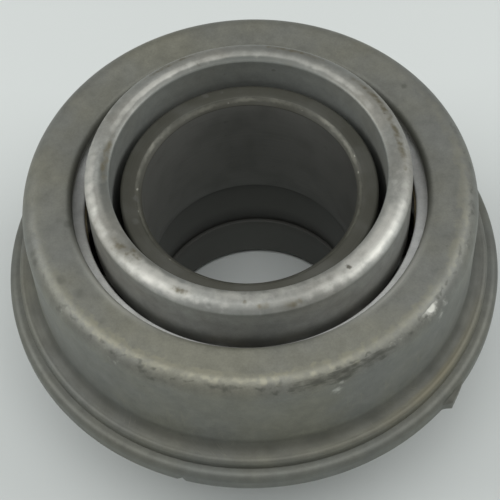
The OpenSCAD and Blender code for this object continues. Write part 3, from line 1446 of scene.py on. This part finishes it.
@dataclass(frozen=True)
class PlainSteel(Finish):
    """Ground, plated or pressed steel with lap marks, blotches and specks.

    Attributes:
        spot: Colour of its specks.
        spot_share: How dark they are.
        pitch: Distance between its lap marks, in millimetres.
    """

    gloss: Range = Range(-0.07, 0.07)
    line_relief: float = 0.4
    spot: Tone = Tone(76, 74, 68)
    spot_share: float = 0.6
    pitch: float = 0.2

    def paint(self, shader: Shader, place: Socket) -> Coat:
        """Lays the nodes of the surface.

        Args:
            shader: The material's shader.
            place: Object coordinates.

        Returns:
            What goes to the shader.
        """
        colour, grain = self.uneven(shader, place, {"Cloud": 14.0, "Blotch": 2.5, "Grain": 0.3})
        lines = shader.group(LapMarks, {"Place": place, "Pitch": self.pitch, "Length": 30.0})["Value"]
        spots = shader.group(Specks, {"Place": place, "Spacing": 4.4, "Share": 0.45, "Spot": 0.3})["Mask"]
        colour = shader.blend(shader.times(spots, self.spot_share), colour, self.spot.linear())
        return Coat(colour, self.metallic, self.dull(shader, lines), self.worked(shader, grain, lines))


@dataclass(frozen=True)
class ShieldSteel(PlainSteel):
    """Plated sheet of the DustShield, painted darker as shade on its sheltered sides.

    Attributes:
        sheltered_shade: Colour of the painted shade on the sheltered sides.
        shade_patch_size: Width of a patch of the painted shade, in millimetres.
        shade_patch_share: Strength of its patches.
    """

    sheltered_shade: Tone = Tone(96, 97, 93)
    shade_patch_size: float = 2.0
    shade_patch_share: Range = Range(0.7, 1.3)

    def paint(self, shader: Shader, place: Socket) -> Coat:
        """Lays the nodes of the surface.

        Args:
            shader: The material's shader.
            place: Object coordinates.

        Returns:
            What goes to the shader.
        """
        coat = super().paint(shader, place)
        # Painted shade on the shield's sheltered sides.
        patches = shader.span(shader.noise(place, self.shade_patch_size), *self.shade_patch_share)
        shield_shade = shader.times(shader.mark("sheltered_shade"), patches)
        return coat._replace(colour=shader.blend(shield_shade, coat.colour, self.sheltered_shade.linear()))


def dress(piece: bpy.types.Object, finish: bpy.types.Material) -> None:
    """Gives a piece or a CAD node one finish all over."""
    piece.data.materials.clear()
    piece.data.materials.append(finish)


@dataclass
class Piece:
    """A spun piece that stands for a CAD node.

    Attributes:
        node: The node that it replaces.
        slot: The record's material slot; not used.
        body: The body that it rides on.
        finish: Its finish.
        steps: Faces round the ring.
    """

    node: str
    slot: str
    body: Body
    finish: Finish
    steps: int

    def section(self) -> SectionPen:
        """Draws the piece's closed section and returns its pen."""
        raise NotImplementedError

    def mark(self, piece: bpy.types.Object) -> None:
        """Adds the marks of use to the spun piece."""

    def build(self) -> None:
        """Builds, marks and dresses the piece."""
        piece = self.section().spin(self.steps)
        self.mark(piece)
        dress(piece, self.finish.material())
        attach(piece, self.body.value)
        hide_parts(self.node)
        LOG.info("%s: %d faces", piece.name, len(piece.data.polygons))


@dataclass
class Hub(Piece):
    """Turned hub: barrel, disc flange with its lug and nick, register and sleeve."""

    # Turned sizes, in millimetres
    bore_r: float = BORE_R
    sleeve_r: float = SLEEVE_R
    barrel_r: float = 22.5
    race_r: float = RACE_R
    flange_r: float = 42.06
    flange_z: float = 22.9
    foot_z: float = FOOT_Z
    seat_z: float = 29.4
    top_z: float = HUB_TOP
    lower_land: float = LOWER_LAND
    upper_land: float = 24.6
    relief: float = 0.6
    chamfer: float = BORE_CHAMFER
    flange_round: float = 1.4
    edge_round: float = 0.5
    edge_break: float = 0.12
    # Strip of the flange's edge that divides the lug from the rounding above it
    ledge: float = 0.03
    # Lug and nick on the flange's edge, with angles in degrees
    lug_rise: float = 1.0
    lug_start: float = -37.5
    lug_sweep: float = 6.0
    lug_fall: float = 1.8
    nick_angle: float = -109.0
    nick_r: float = 0.4
    nick_h: float = 1.3
    # Old grease and soot on the bore's wall
    sooty: Sequence[Zone] = (
        Zone(0.0, 48.0, 17.4, 1.0, 0.62),
        Zone(180.0, 45.0, 17.4, 1.0, 0.3),
    )

    def section(self) -> SectionPen:
        """Draws the hub's section.

        Returns:
            The pen that drew it.
        """
        start = Vector((self.bore_r, self.chamfer))
        relief_r = self.bore_r + self.relief
        relief_top = self.top_z - self.upper_land
        lug_top = self.foot_z - self.flange_round - self.ledge
        pen = SectionPen(self.node + "_turned", start.x, start.y)
        pen.corners([
            Corner(self.bore_r, self.lower_land, self.edge_break, parts=2, run=4),
            Corner(relief_r, self.lower_land),
            Corner(relief_r, relief_top, run=4),
            Corner(self.bore_r, relief_top, self.edge_break, parts=2),
            Corner(self.bore_r, self.top_z - self.chamfer, self.edge_break, parts=2, run=8),
            Corner(self.bore_r + self.chamfer, self.top_z, self.edge_break, parts=2, run=3),
            Corner(self.sleeve_r, self.top_z, self.edge_round, parts=6, run=3),
            Corner(self.sleeve_r, self.seat_z, run=4),
            Corner(self.race_r, self.seat_z, self.edge_round, parts=4, run=3),
            Corner(self.race_r, self.foot_z),
            Corner(self.flange_r, self.foot_z, self.flange_round, parts=10, run=4),
            Corner(self.flange_r, lug_top),
            Corner(self.flange_r, self.flange_z, self.edge_round, parts=6, run=6),
            Corner(self.barrel_r, self.flange_z, self.flange_round, parts=8, run=6),
            Corner(self.barrel_r, self.chamfer, self.edge_break, parts=2, run=6),
            Corner(self.barrel_r - self.chamfer, 0.0, self.edge_break, parts=2),
            Corner(self.bore_r + self.chamfer, 0.0, self.edge_break, parts=2, run=2),
        ], start)
        return pen

    def raise_lug(self, piece: bpy.types.Object, ramp: np.ndarray) -> None:
        """Draws the points of the flange's edge out to the lug.

        Args:
            piece: The spun hub.
            ramp: How far each point goes, from 0 to 1.
        """
        weigh(piece, "lug", ramp)
        lug = piece.modifiers.new("lug", "CAST")
        lug.cast_type = "CYLINDER"
        lug.use_z = False
        lug.use_radius_as_size = False
        lug.size = (self.flange_r + self.lug_rise) * MM
        lug.factor = 1.0
        lug.vertex_group = "lug"
        settle(piece, lug)

    def mark(self, piece: bpy.types.Object) -> None:
        """Raises the lug from the flange's edge, presses the nick into it and marks soot in the bore.

        Args:
            piece: The spun hub.
        """
        places = Places(piece)
        rim = places.r > self.flange_r - self.edge_round - self.ledge
        under = places.z < self.foot_z - self.flange_round - self.ledge / 2
        lug_end = self.lug_start - self.lug_sweep - self.lug_fall
        climb = np.clip(-places.off(self.lug_start) / self.lug_sweep, *WHOLE)
        fall = np.clip(places.off(lug_end) / self.lug_fall, *WHOLE)
        self.raise_lug(piece, np.where(rim & under, np.minimum(climb, fall), 0.0))

        around = places.around(self.nick_angle, self.flange_r) / self.nick_r
        rise = (places.z - self.flange_z) / self.nick_h
        bite = np.where(rim & (rise < 1.0), np.sqrt(np.clip(1.0 - around ** 2, *WHOLE)), 0.0)
        press(piece, "nick", bite * self.nick_r)
        inside = places.z < self.top_z - self.chamfer
        tag(piece, "soot", np.where(inside, strongest(self.sooty, places), 0.0))


@dataclass
class Cover(Piece):
    """Pressed cover: mouth, top, shoulder, wall, foot, and the galling below the shoulder."""

    # Pressed sizes, in millimetres
    mouth_r: float = 28.95
    inner_r: float = 35.26
    outer_r: float = WALL_R
    foot_r: float = 40.06
    foot_z: float = FOOT_Z
    foot_top: float = FOOT_TOP
    under_z: float = 44.9
    top_z: float = 46.9
    sheet: float = SHEET
    shoulder: float = 3.0
    fillet: float = 1.9
    foot_round: float = 0.8
    mouth_round: float = 1.1
    edge_round: float = 0.5
    # Height of the wall below the shoulder that has a fine mesh, for the marks
    worked_h: float = 3.0
    # Painted highlight on the mouth's edge at the front left and right, and its darkening: painted shade at
    # the sides and a soiled line at the back
    lip_reach: float = 1.5
    lip_highlight_sides: Sequence[Sector] = (Sector(-142.0, 24.0), Sector(-42.0, 26.0))
    lip_dirt_and_shade: Sequence[Zone] = (
        Zone(88.0, 50.0, 29.5, 1.5, 0.75),
        Zone(12.0, 26.0, 29.0, 0.8, 0.9),
        Zone(172.0, 26.0, 29.0, 0.8, 0.9),
    )
    # Galled smears: where they lie, and what each one is drawn from
    galled_from: float = -84.0
    galled_sweep: float = 28.0
    galled_drop: float = 1.0
    galled_spread: float = 0.35
    galled_lean: Range = Range(-0.25, 0.25)
    galled_long: Range = Range(0.6, 1.4)
    galled_short: Range = Range(0.1, 0.2)
    galled_deep: Range = Range(0.01, 0.05)
    galled_marks: int = 60
    # How the dark zone of the galling fades at its ends and downwards
    scuff_reach: float = 1.2
    scuff_fade: float = 2.5
    scuff_drop: float = 1.6
    # Bare chip on the shoulder, and light smears
    chip: Smear = Smear(-41.4, 46.45, 1.0, 0.75)
    chip_deep: float = 0.08
    chip_steep: float = 2.0
    light_smears: Sequence[Smear] = (
        Smear(-41.8, 46.3, 1.9, 1.0, 1.0),
        Smear(-39.6, 43.4, 0.9, 1.5, 0.75),
        Smear(-37.0, 45.0, 0.8, 0.9, 0.75),
        Smear(-56.0, 46.2, 2.5, 0.5, 0.45),
        Smear(-72.0, 43.0, 1.0, 1.4, 0.75),
        Smear(-70.5, 44.6, 0.7, 0.6, 0.7),
        Smear(-23.0, 46.2, 3.2, 0.6, 0.32),
        Smear(-14.0, 46.0, 2.4, 0.5, 0.25),
        Smear(-128.0, 45.4, 1.6, 0.6, 0.4),
        Smear(-146.0, 45.8, 1.3, 0.6, 0.4),
    )
    # Dark spots, rust on the foot, and the front side, where the shoulder's painted highlight is strongest
    soft_spots: Sequence[Zone] = (
        Zone(-171.0, 1.8, 29.9, 0.7, 1.0),
        Zone(-172.6, 1.6, 31.1, 0.8, 0.6),
        Zone(-165.2, 1.4, 36.2, 0.7, 0.7),
        Zone(-162.7, 1.2, 36.3, 0.6, 0.7),
        Zone(-153.4, 1.8, 33.9, 0.9, 0.8),
        Zone(-147.1, 2.2, 32.7, 1.0, 0.7),
        Zone(-136.0, 1.6, 33.4, 0.9, 0.6),
        Zone(-104.0, 2.2, 33.0, 0.8, 0.4),
        Zone(-28.0, 2.0, 33.5, 0.8, 0.4),
        Zone(3.6, 1.4, 34.1, 0.7, 0.5),
        Zone(140.0, 2.4, 33.4, 1.0, 0.5),
    )
    rusted: Zone = Zone(-42.0, 20.0, 39.4, 0.8, 0.6)
    sheen_front: float = -72.0
    sheen_wide: float = 0.4
    sheen_back: float = 0.1
    seed: int = 11

    def section(self) -> SectionPen:
        """Draws the cover's section.

        Returns:
            The pen that drew it.
        """
        start = Vector((self.mouth_r, self.under_z))
        worked_z = self.top_z - self.shoulder - self.worked_h
        pen = SectionPen(self.node + "_pressed", start.x, start.y)
        pen.corners([
            Corner(self.mouth_r, self.top_z, self.mouth_round, parts=8, run=2),
            Corner(self.outer_r, self.top_z, self.shoulder, parts=24, run=6),
            Corner(self.outer_r, worked_z, run=12),
            Corner(self.outer_r, self.foot_top, self.fillet, parts=8, run=4),
            Corner(self.foot_r, self.foot_top, self.foot_round, parts=7),
            Corner(self.foot_r, self.foot_z, run=2),
            Corner(self.inner_r, self.foot_z, self.edge_round, parts=3, run=2),
            Corner(self.inner_r, self.under_z, run=3),
        ], start)
        return pen

    def galling(self, places: Places) -> np.ndarray:
        """Scatters galled smears below the shoulder.

        Args:
            places: The cover's points.

        Returns:
            Their depth at each point, in millimetres.
        """
        draw = random.Random(self.seed)
        depth = np.zeros(len(places.r))
        for _ in range(self.galled_marks):
            angle = self.galled_from + draw.uniform(*WHOLE) * self.galled_sweep
            across = places.around(angle, self.outer_r)
            down = places.z - self.top_z + draw.gauss(self.galled_drop, self.galled_spread)
            lean = draw.uniform(*self.galled_lean)
            long = draw.uniform(*self.galled_long)
            short = draw.uniform(*self.galled_short)
            deep = draw.uniform(*self.galled_deep)
            first = (across * math.cos(lean) + down * math.sin(lean)) / long
            second = (down * math.cos(lean) - across * math.sin(lean)) / short
            depth = np.maximum(depth, deep * np.clip(1.0 - first ** 2 - second ** 2, *WHOLE))
        return depth

    def scuffed(self, places: Places) -> np.ndarray:
        """Finds the galled zone below the shoulder.

        Args:
            places: The cover's points.

        Returns:
            How far each point lies in it, from 0 to 1.
        """
        half = self.galled_sweep / 2
        turned = np.abs(places.off(self.galled_from + half)) / half
        fallen = np.abs(places.z - self.top_z + self.galled_drop) / self.galled_drop
        ends = np.clip(self.scuff_fade * (self.scuff_reach - turned), *WHOLE)
        return ends * np.clip(self.scuff_drop - fallen, *WHOLE)

    def mark(self, piece: bpy.types.Object) -> None:
        """Presses galled smears and a chip into the shoulder, and marks the scuffs, the painted highlights,
        the painted shade and the soiling.

        Args:
            piece: The spun cover.
        """
        places = Places(piece)
        outside = places.r > self.inner_r + self.sheet / 4
        press(piece, "galling", np.where(outside, self.galling(places), 0.0))
        flat = np.clip(self.chip_steep * (1.0 - self.chip.away(places, self.outer_r)), *WHOLE)
        press(piece, "chip", np.where(outside, self.chip_deep * flat, 0.0))

        light = [smear.share * np.exp(-smear.away(places, self.outer_r)) for smear in self.light_smears]
        # The shoulder's painted highlight is strongest on the front side.
        facing = np.clip(self.sheen_wide + np.cos(np.radians(places.off(self.sheen_front))), *WHOLE)
        lip = np.clip(1.0 - (places.r - self.mouth_r) / self.lip_reach, *WHOLE)
        lip = np.where(places.z > self.under_z + self.edge_round, lip, 0.0)
        tag(piece, "smear", np.where(outside, np.max(light, axis=0), 0.0))
        tag(piece, "spots", strongest(self.soft_spots, places))
        tag(piece, "sheen_facing", self.sheen_back + (1.0 - self.sheen_back) * facing)
        tag(piece, "scuff", np.where(outside, self.scuffed(places), 0.0))
        tag(piece, "lip", lip * sum(sector.over(places) for sector in self.lip_highlight_sides))
        tag(piece, "rust", self.rusted.over(places))
        tag(piece, "lip_soil_and_shade", lip * strongest(self.lip_dirt_and_shade, places))


@dataclass
class ThrustRing(Piece):
    """Turning ring: raceway below and crowned nose above."""

    # Turned sizes, in millimetres
    bore_r: float = RING_BORE_R
    nose_r: float = 26.3
    low_r: float = 24.85
    bottom_z: float = 29.9
    top_z: float = 52.5
    crest_r: float = 24.0
    crown_arc: float = 3.145
    nose_round: float = 0.5
    groove_r: float = 4.54
    groove_at: tuple[float, float] = (28.86, 36.62)
    # Nicks that clutch fingers have left in the crown
    crown_h: float = 1.5
    nicks: int = 26
    nick_in: float = 0.4
    nick_out: float = 0.5
    nick_size: Range = Range(0.18, 0.45)
    nick_deep: Range = Range(0.02, 0.07)
    # Stained, polished and tarnished parts of the crown
    # Stains, polish and tarnish on the crown; the polish zones also place painted highlights, strongest at
    # the front left and right
    stain_reach: float = 1.4
    stains: Sequence[Stain] = (
        Stain(-147.0, 24.5, 2.5, 1.1),
        Stain(-141.0, 23.4, 1.4, 0.7),
        Stain(-118.0, 24.6, 1.8, 0.6),
        Stain(-94.0, 24.5, 0.3, 0.4),
        Stain(-87.5, 25.3, 1.0, 0.5),
        Stain(-77.5, 25.6, 1.6, 0.5),
        Stain(-3.0, 25.0, 0.7, 0.4),
        Stain(10.0, 24.9, 5.0, 0.6),
        Stain(30.0, 25.1, 6.0, 0.6),
        Stain(71.0, 25.4, 6.0, 0.5),
        Stain(118.0, 25.5, 5.0, 0.5),
        Stain(170.0, 23.1, 5.0, 0.6),
    )
    wear_and_highlights: Sequence[Zone] = (
        Zone(-128.0, 20.0, 24.5, 1.5, 0.82),
        Zone(-40.0, 26.0, 24.4, 1.5, 0.88),
        Zone(-90.0, 34.0, 23.4, 1.1, 0.45),
        Zone(-180.0, 26.0, 25.5, 0.9, 0.6),
        Zone(132.0, 30.0, 23.55, 0.5, 0.85),
        Zone(85.0, 40.0, 23.8, 0.4, 0.12),
        Zone(44.0, 22.0, 23.4, 0.5, 0.5),
        Zone(4.0, 26.0, 25.2, 0.6, 0.2),
    )
    tarnish: Sequence[Zone] = (
        Zone(-88.0, 40.0, 25.6, 0.8, 0.5),
        Zone(-92.0, 26.0, 24.5, 0.8, 0.26),
        Zone(120.0, 45.0, 25.3, 1.0, 0.35),
        Zone(70.0, 40.0, 25.2, 1.2, 0.55),
        Zone(-178.0, 24.0, 23.1, 0.9, 0.8),
        Zone(-146.0, 10.0, 24.0, 1.4, 0.5),
        Zone(90.0, 45.0, 22.8, 0.45, 1.0),
        Zone(2.0, 22.0, 23.4, 1.4, 0.42),
        Zone(155.0, 14.0, 22.9, 0.7, 0.35),
        Zone(-135.0, 26.0, 22.9, 0.5, 0.6),
        Zone(-88.0, 34.0, 22.8, 0.45, 0.55),
    )
    seed: int = 5

    def section(self) -> SectionPen:
        """Draws the ring's section.

        Returns:
            The pen that drew it.
        """
        crown = Vector((self.crest_r, self.top_z - self.crown_arc))
        reach = self.crown_arc - self.nose_round
        inner = Vector((self.bore_r + self.nose_round, 0.0))
        inner.y = crown.y + math.sqrt(reach ** 2 - (inner.x - crown.x) ** 2)
        outer = Vector((self.nose_r - self.nose_round, 0.0))
        outer.y = crown.y + math.sqrt(reach ** 2 - (outer.x - crown.x) ** 2)
        groove = Vector(self.groove_at)
        groove_top = groove.y + math.sqrt(self.groove_r ** 2 - (groove.x - self.nose_r) ** 2)
        groove_low = groove.y - math.sqrt(self.groove_r ** 2 - (groove.x - self.low_r) ** 2)

        def slope(middle: Vector) -> float:
            """Returns the angle of the line from the crown's centre to a rounding's centre."""
            return math.atan2(middle.y - crown.y, middle.x - crown.x)

        start = Vector((self.bore_r, self.bottom_z))
        pen = SectionPen(self.node + "_turned", start.x, start.y)
        pen.line(Vector((self.bore_r, inner.y)), parts=12)
        pen.arc(inner, slope(inner) - math.pi, parts=7)
        pen.arc(crown, slope(outer) - slope(inner), parts=26)
        pen.arc(outer, -slope(outer), parts=7)
        pen.line(Vector((self.nose_r, groove_top)), parts=10)
        low_end = math.atan2(groove_low - groove.y, self.low_r - groove.x)
        high_end = math.atan2(groove_top - groove.y, self.nose_r - groove.x)
        pen.arc(groove, (low_end - high_end) % (2 * math.pi), parts=16)
        pen.line(Vector((self.low_r, self.bottom_z)), parts=2)
        pen.line(start, parts=2)
        return pen

    def struck(self, places: Places) -> np.ndarray:
        """Scatters the small nicks that clutch fingers have left.

        Args:
            places: The ring's points.

        Returns:
            Their depth at each point, in millimetres.
        """
        draw = random.Random(self.seed)
        depth = np.zeros(len(places.r))
        for _ in range(self.nicks):
            angle = draw.uniform(-HALF_TURN, HALF_TURN)
            r = draw.uniform(self.bore_r + self.nick_in, self.nose_r - self.nick_out)
            size = draw.uniform(*self.nick_size)
            deep = draw.uniform(*self.nick_deep)
            away = np.hypot(places.around(angle, r), places.r - r) / size
            depth = np.maximum(depth, deep * np.clip(1.0 - away ** 2, *WHOLE))
        return depth

    def mark(self, piece: bpy.types.Object) -> None:
        """Presses small nicks into the crown, and marks its stains, its polish with painted highlights, and
        tarnish.

        Args:
            piece: The spun ring.
        """
        places = Places(piece)
        crown = places.z > self.top_z - self.crown_h
        press(piece, "nicks", np.where(crown, self.struck(places), 0.0))
        stained = [np.clip(self.stain_reach - stain.away(places), *WHOLE) for stain in self.stains]
        tag(piece, "stains", np.where(crown, np.max(stained, axis=0), 0.0))
        for name, zones in (("wear_and_highlights", self.wear_and_highlights), ("tarnish", self.tarnish)):
            tag(piece, name, np.where(crown, strongest(zones, places), 0.0))


@dataclass
class DustShield(Piece):
    """Thin pressed shield: clamped edge, step and set-down middle."""

    # Pressed sizes, in millimetres
    inner_r: float = 27.2
    step_r: float = 32.38
    outer_r: float = RACE_R
    low_z: float = 42.315
    clamp_z: float = 44.0
    sheet: float = 0.9
    bend: float = 0.3
    # Sides where the shield is painted darker as shade
    shaded_sides: Sequence[Sector] = (
        Sector(-180.0, 20.0, 0.6),
        Sector(6.0, 22.0, 0.42),
        Sector(-92.0, 24.0, 0.75),
    )

    def section(self) -> SectionPen:
        """Draws the shield's section.

        Returns:
            The pen that drew it.
        """
        start = Vector((self.inner_r, self.low_z + self.sheet / 2))
        fold = self.bend
        pen = SectionPen(self.node + "_pressed", start.x, start.y)
        pen.corners([
            Corner(self.inner_r, self.low_z + self.sheet, fold, parts=4),
            Corner(self.step_r - self.sheet, self.low_z + self.sheet, fold, parts=4, run=6),
            Corner(self.step_r - self.sheet, self.clamp_z + self.sheet, fold, parts=4),
            Corner(self.outer_r, self.clamp_z + self.sheet, fold / 2, parts=3, run=3),
            Corner(self.outer_r, self.clamp_z, fold / 2, parts=3),
            Corner(self.step_r, self.clamp_z, fold, parts=4, run=3),
            Corner(self.step_r, self.low_z, fold, parts=4),
            Corner(self.inner_r, self.low_z, fold, parts=4, run=6),
        ], start)
        return pen

    def mark(self, piece: bpy.types.Object) -> None:
        """Marks the sides where the shield is painted darker as shade."""
        places = Places(piece)
        tag(piece, "sheltered_shade", sum(sector.over(places) for sector in self.shaded_sides))


@dataclass
class BallSet:
    """What runs inside: the fixed race, the balls, the two cage halves and their rivets.

    Attributes:
        race: Finish of the fixed race.
        balls: Finish of the balls.
        cage: Finish of the cage and its rivets.
    """

    race: Finish
    balls: Finish
    cage: Finish

    def build(self) -> None:
        """Dresses the inner CAD nodes, which keep their form."""
        race, balls, cage = (finish.material() for finish in (self.race, self.balls, self.cage))
        for name, node in sorted(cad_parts.items()):
            if name == "outer_race":
                dress(node, race)
            elif name.startswith("ball_"):
                dress(node, balls)
            elif name.startswith("cage_"):
                dress(node, cage)
            else:
                continue
            LOG.info("%s: dressed", name)


class Lamp(NamedTuple):
    """A broad soft lamp.

    Attributes:
        name: Its name.
        place: Where it hangs, in millimetres.
        size: Its width, in millimetres.
        watt: Its power.
    """

    name: str
    place: tuple[float, float, float]
    size: float
    watt: float


@dataclass
class Studio:
    """Pale floor, soft sky, broad lamps and the camera.

    Attributes:
        floor: Colour of the floor.
        floor_rough: Roughness of the floor.
        floor_gloss: Strength of its reflection.
        floor_half: Half the floor's width, in millimetres.
        sky: Strength of the even sky.
        lamps: The lamps, all turned to the target.
        elevation: Height of the camera above the horizon, in degrees.
        distance: Distance of the camera from its target, in millimetres.
        target: What the camera looks at, in millimetres.
        roll: Turn of the camera about its line of sight, in degrees.
        lens: Focal length for the sensor's width.
        sensor: Width of the sensor.
        clip: Nearest and farthest distance that the camera shows, in millimetres.
    """

    floor: Tone = Tone(208, 213, 211)
    floor_rough: float = 0.9
    floor_gloss: float = 0.1
    floor_half: float = 4000.0
    sky: float = 0.2
    lamps: Sequence[Lamp] = (
        Lamp("left_lamp", (-465.0, 50.0, 420.0), 420.0, 1.8),
        Lamp("right_lamp", (465.0, 30.0, 420.0), 420.0, 1.72),
        Lamp("front_lamp", (0.0, -600.0, 280.0), 500.0, 0.25),
        Lamp("top_lamp", (0.0, -150.0, 880.0), 620.0, 3.3),
    )
    elevation: float = 57.6
    distance: float = 291.3
    target: tuple[float, float, float] = (-0.45, 0.0, 28.5)
    roll: float = -3.4
    lens: float = 122.4
    sensor: float = 36.0
    clip: Range = Range(10.0, 20000.0)

    def build(self) -> None:
        """Builds the floor, the light and the camera."""
        self.build_floor()
        self.build_sky()
        for lamp in self.lamps:
            self.build_lamp(lamp)
        self.build_camera()
        bpy.context.scene.view_settings.view_transform = "Standard"

    def build_floor(self) -> None:
        """Lays the plain floor."""
        select_nothing()
        bpy.ops.mesh.primitive_plane_add(size=2 * self.floor_half * MM)
        floor = bpy.context.object
        floor.name = "floor"
        made = bpy.data.materials.new("floor_card")
        made.use_nodes = True
        card = made.node_tree.nodes["Principled BSDF"].inputs
        card["Base Color"].default_value = self.floor.linear()
        card["Roughness"].default_value = self.floor_rough
        card["Specular IOR Level"].default_value = self.floor_gloss
        dress(floor, made)

    def build_sky(self) -> None:
        """Lights the scene with a plain, even dome."""
        world = bpy.data.worlds.new("studio_dome")
        bpy.context.scene.world = world
        world.use_nodes = True
        world.node_tree.nodes.clear()
        shader = Shader(world.node_tree)
        dome = shader.node("Background", {"Strength": self.sky})
        shader.node("OutputWorld", {"Surface": dome.outputs[0]})

    def build_lamp(self, lamp: Lamp) -> None:
        """Hangs one lamp and turns it to the target.

        Args:
            lamp: The lamp.
        """
        place = Vector(lamp.place)
        select_nothing()
        bpy.ops.object.light_add(type="AREA", location=place * MM)
        hung = bpy.context.object
        hung.name = lamp.name
        hung.rotation_mode = "QUATERNION"
        hung.rotation_quaternion = (Vector(self.target) - place).to_track_quat("-Z", "Y")
        hung.data.size = lamp.size * MM
        hung.data.energy = lamp.watt

    def build_camera(self) -> None:
        """Places the camera at the photograph's angle."""
        tilt = math.radians(self.elevation)
        back = Vector((0.0, -math.cos(tilt), math.sin(tilt)))
        select_nothing()
        bpy.ops.object.camera_add(location=(Vector(self.target) + back * self.distance) * MM)
        camera = bpy.context.object
        camera.name = "photo_view"
        camera.rotation_mode = "QUATERNION"
        turn = Quaternion((0.0, 0.0, 1.0), math.radians(self.roll))
        camera.rotation_quaternion = (-back).to_track_quat("-Z", "Y") @ turn
        camera.data.lens = self.lens
        camera.data.sensor_width = self.sensor
        camera.data.clip_start = self.clip.low * MM
        camera.data.clip_end = self.clip.high * MM
        bpy.context.scene.camera = camera


def main() -> None:
    """Builds the pieces in order, then the studio."""
    logging.basicConfig(level=logging.INFO, format="%(name)s %(message)s")
    hub_finish = TurnedSteel(
        "turned_hub_steel", Tone(101, 104, 99), Tone(103, 104, 95), metallic=0.35, roughness=0.5)
    cover_finish = DrawnSteel(
        "drawn_cover_steel", Tone(114, 116, 111), Tone(120, 120, 108), metallic=0.4, roughness=0.5)
    ring_finish = CrownSteel(
        "crown_steel", Tone(148, 150, 145), Tone(140, 139, 131), metallic=0.3, roughness=0.42)
    shield_finish = ShieldSteel(
        "shield_sheet", Tone(230, 232, 230), Tone(214, 215, 210), metallic=0.3, roughness=0.45)
    race_finish = PlainSteel(
        "ground_race_steel", Tone(168, 168, 166), Tone(150, 148, 142), metallic=0.95, roughness=0.28)
    ball_finish = PlainSteel(
        "polished_ball_steel", Tone(214, 215, 216), Tone(196, 195, 190), metallic=1.0, roughness=0.14,
        pitch=0.5)
    cage_finish = PlainSteel(
        "pressed_cage_steel", Tone(140, 128, 100), Tone(126, 118, 98), metallic=0.8, roughness=0.42)
    pieces = (
        Hub("hub", "hub_steel", Body.HOUSING, hub_finish, steps=720),
        Cover("cover", "cover_steel", Body.HOUSING, cover_finish, steps=1180),
        ThrustRing("thrust_ring", "nose_steel", Body.THRUST, ring_finish, steps=720),
        DustShield("dust_shield", "shield_steel", Body.HOUSING, shield_finish, steps=360),
    )
    for piece in pieces:
        piece.build()
    BallSet(race_finish, ball_finish, cage_finish).build()
    Studio().build()


if __name__ == "__main__":
    main()
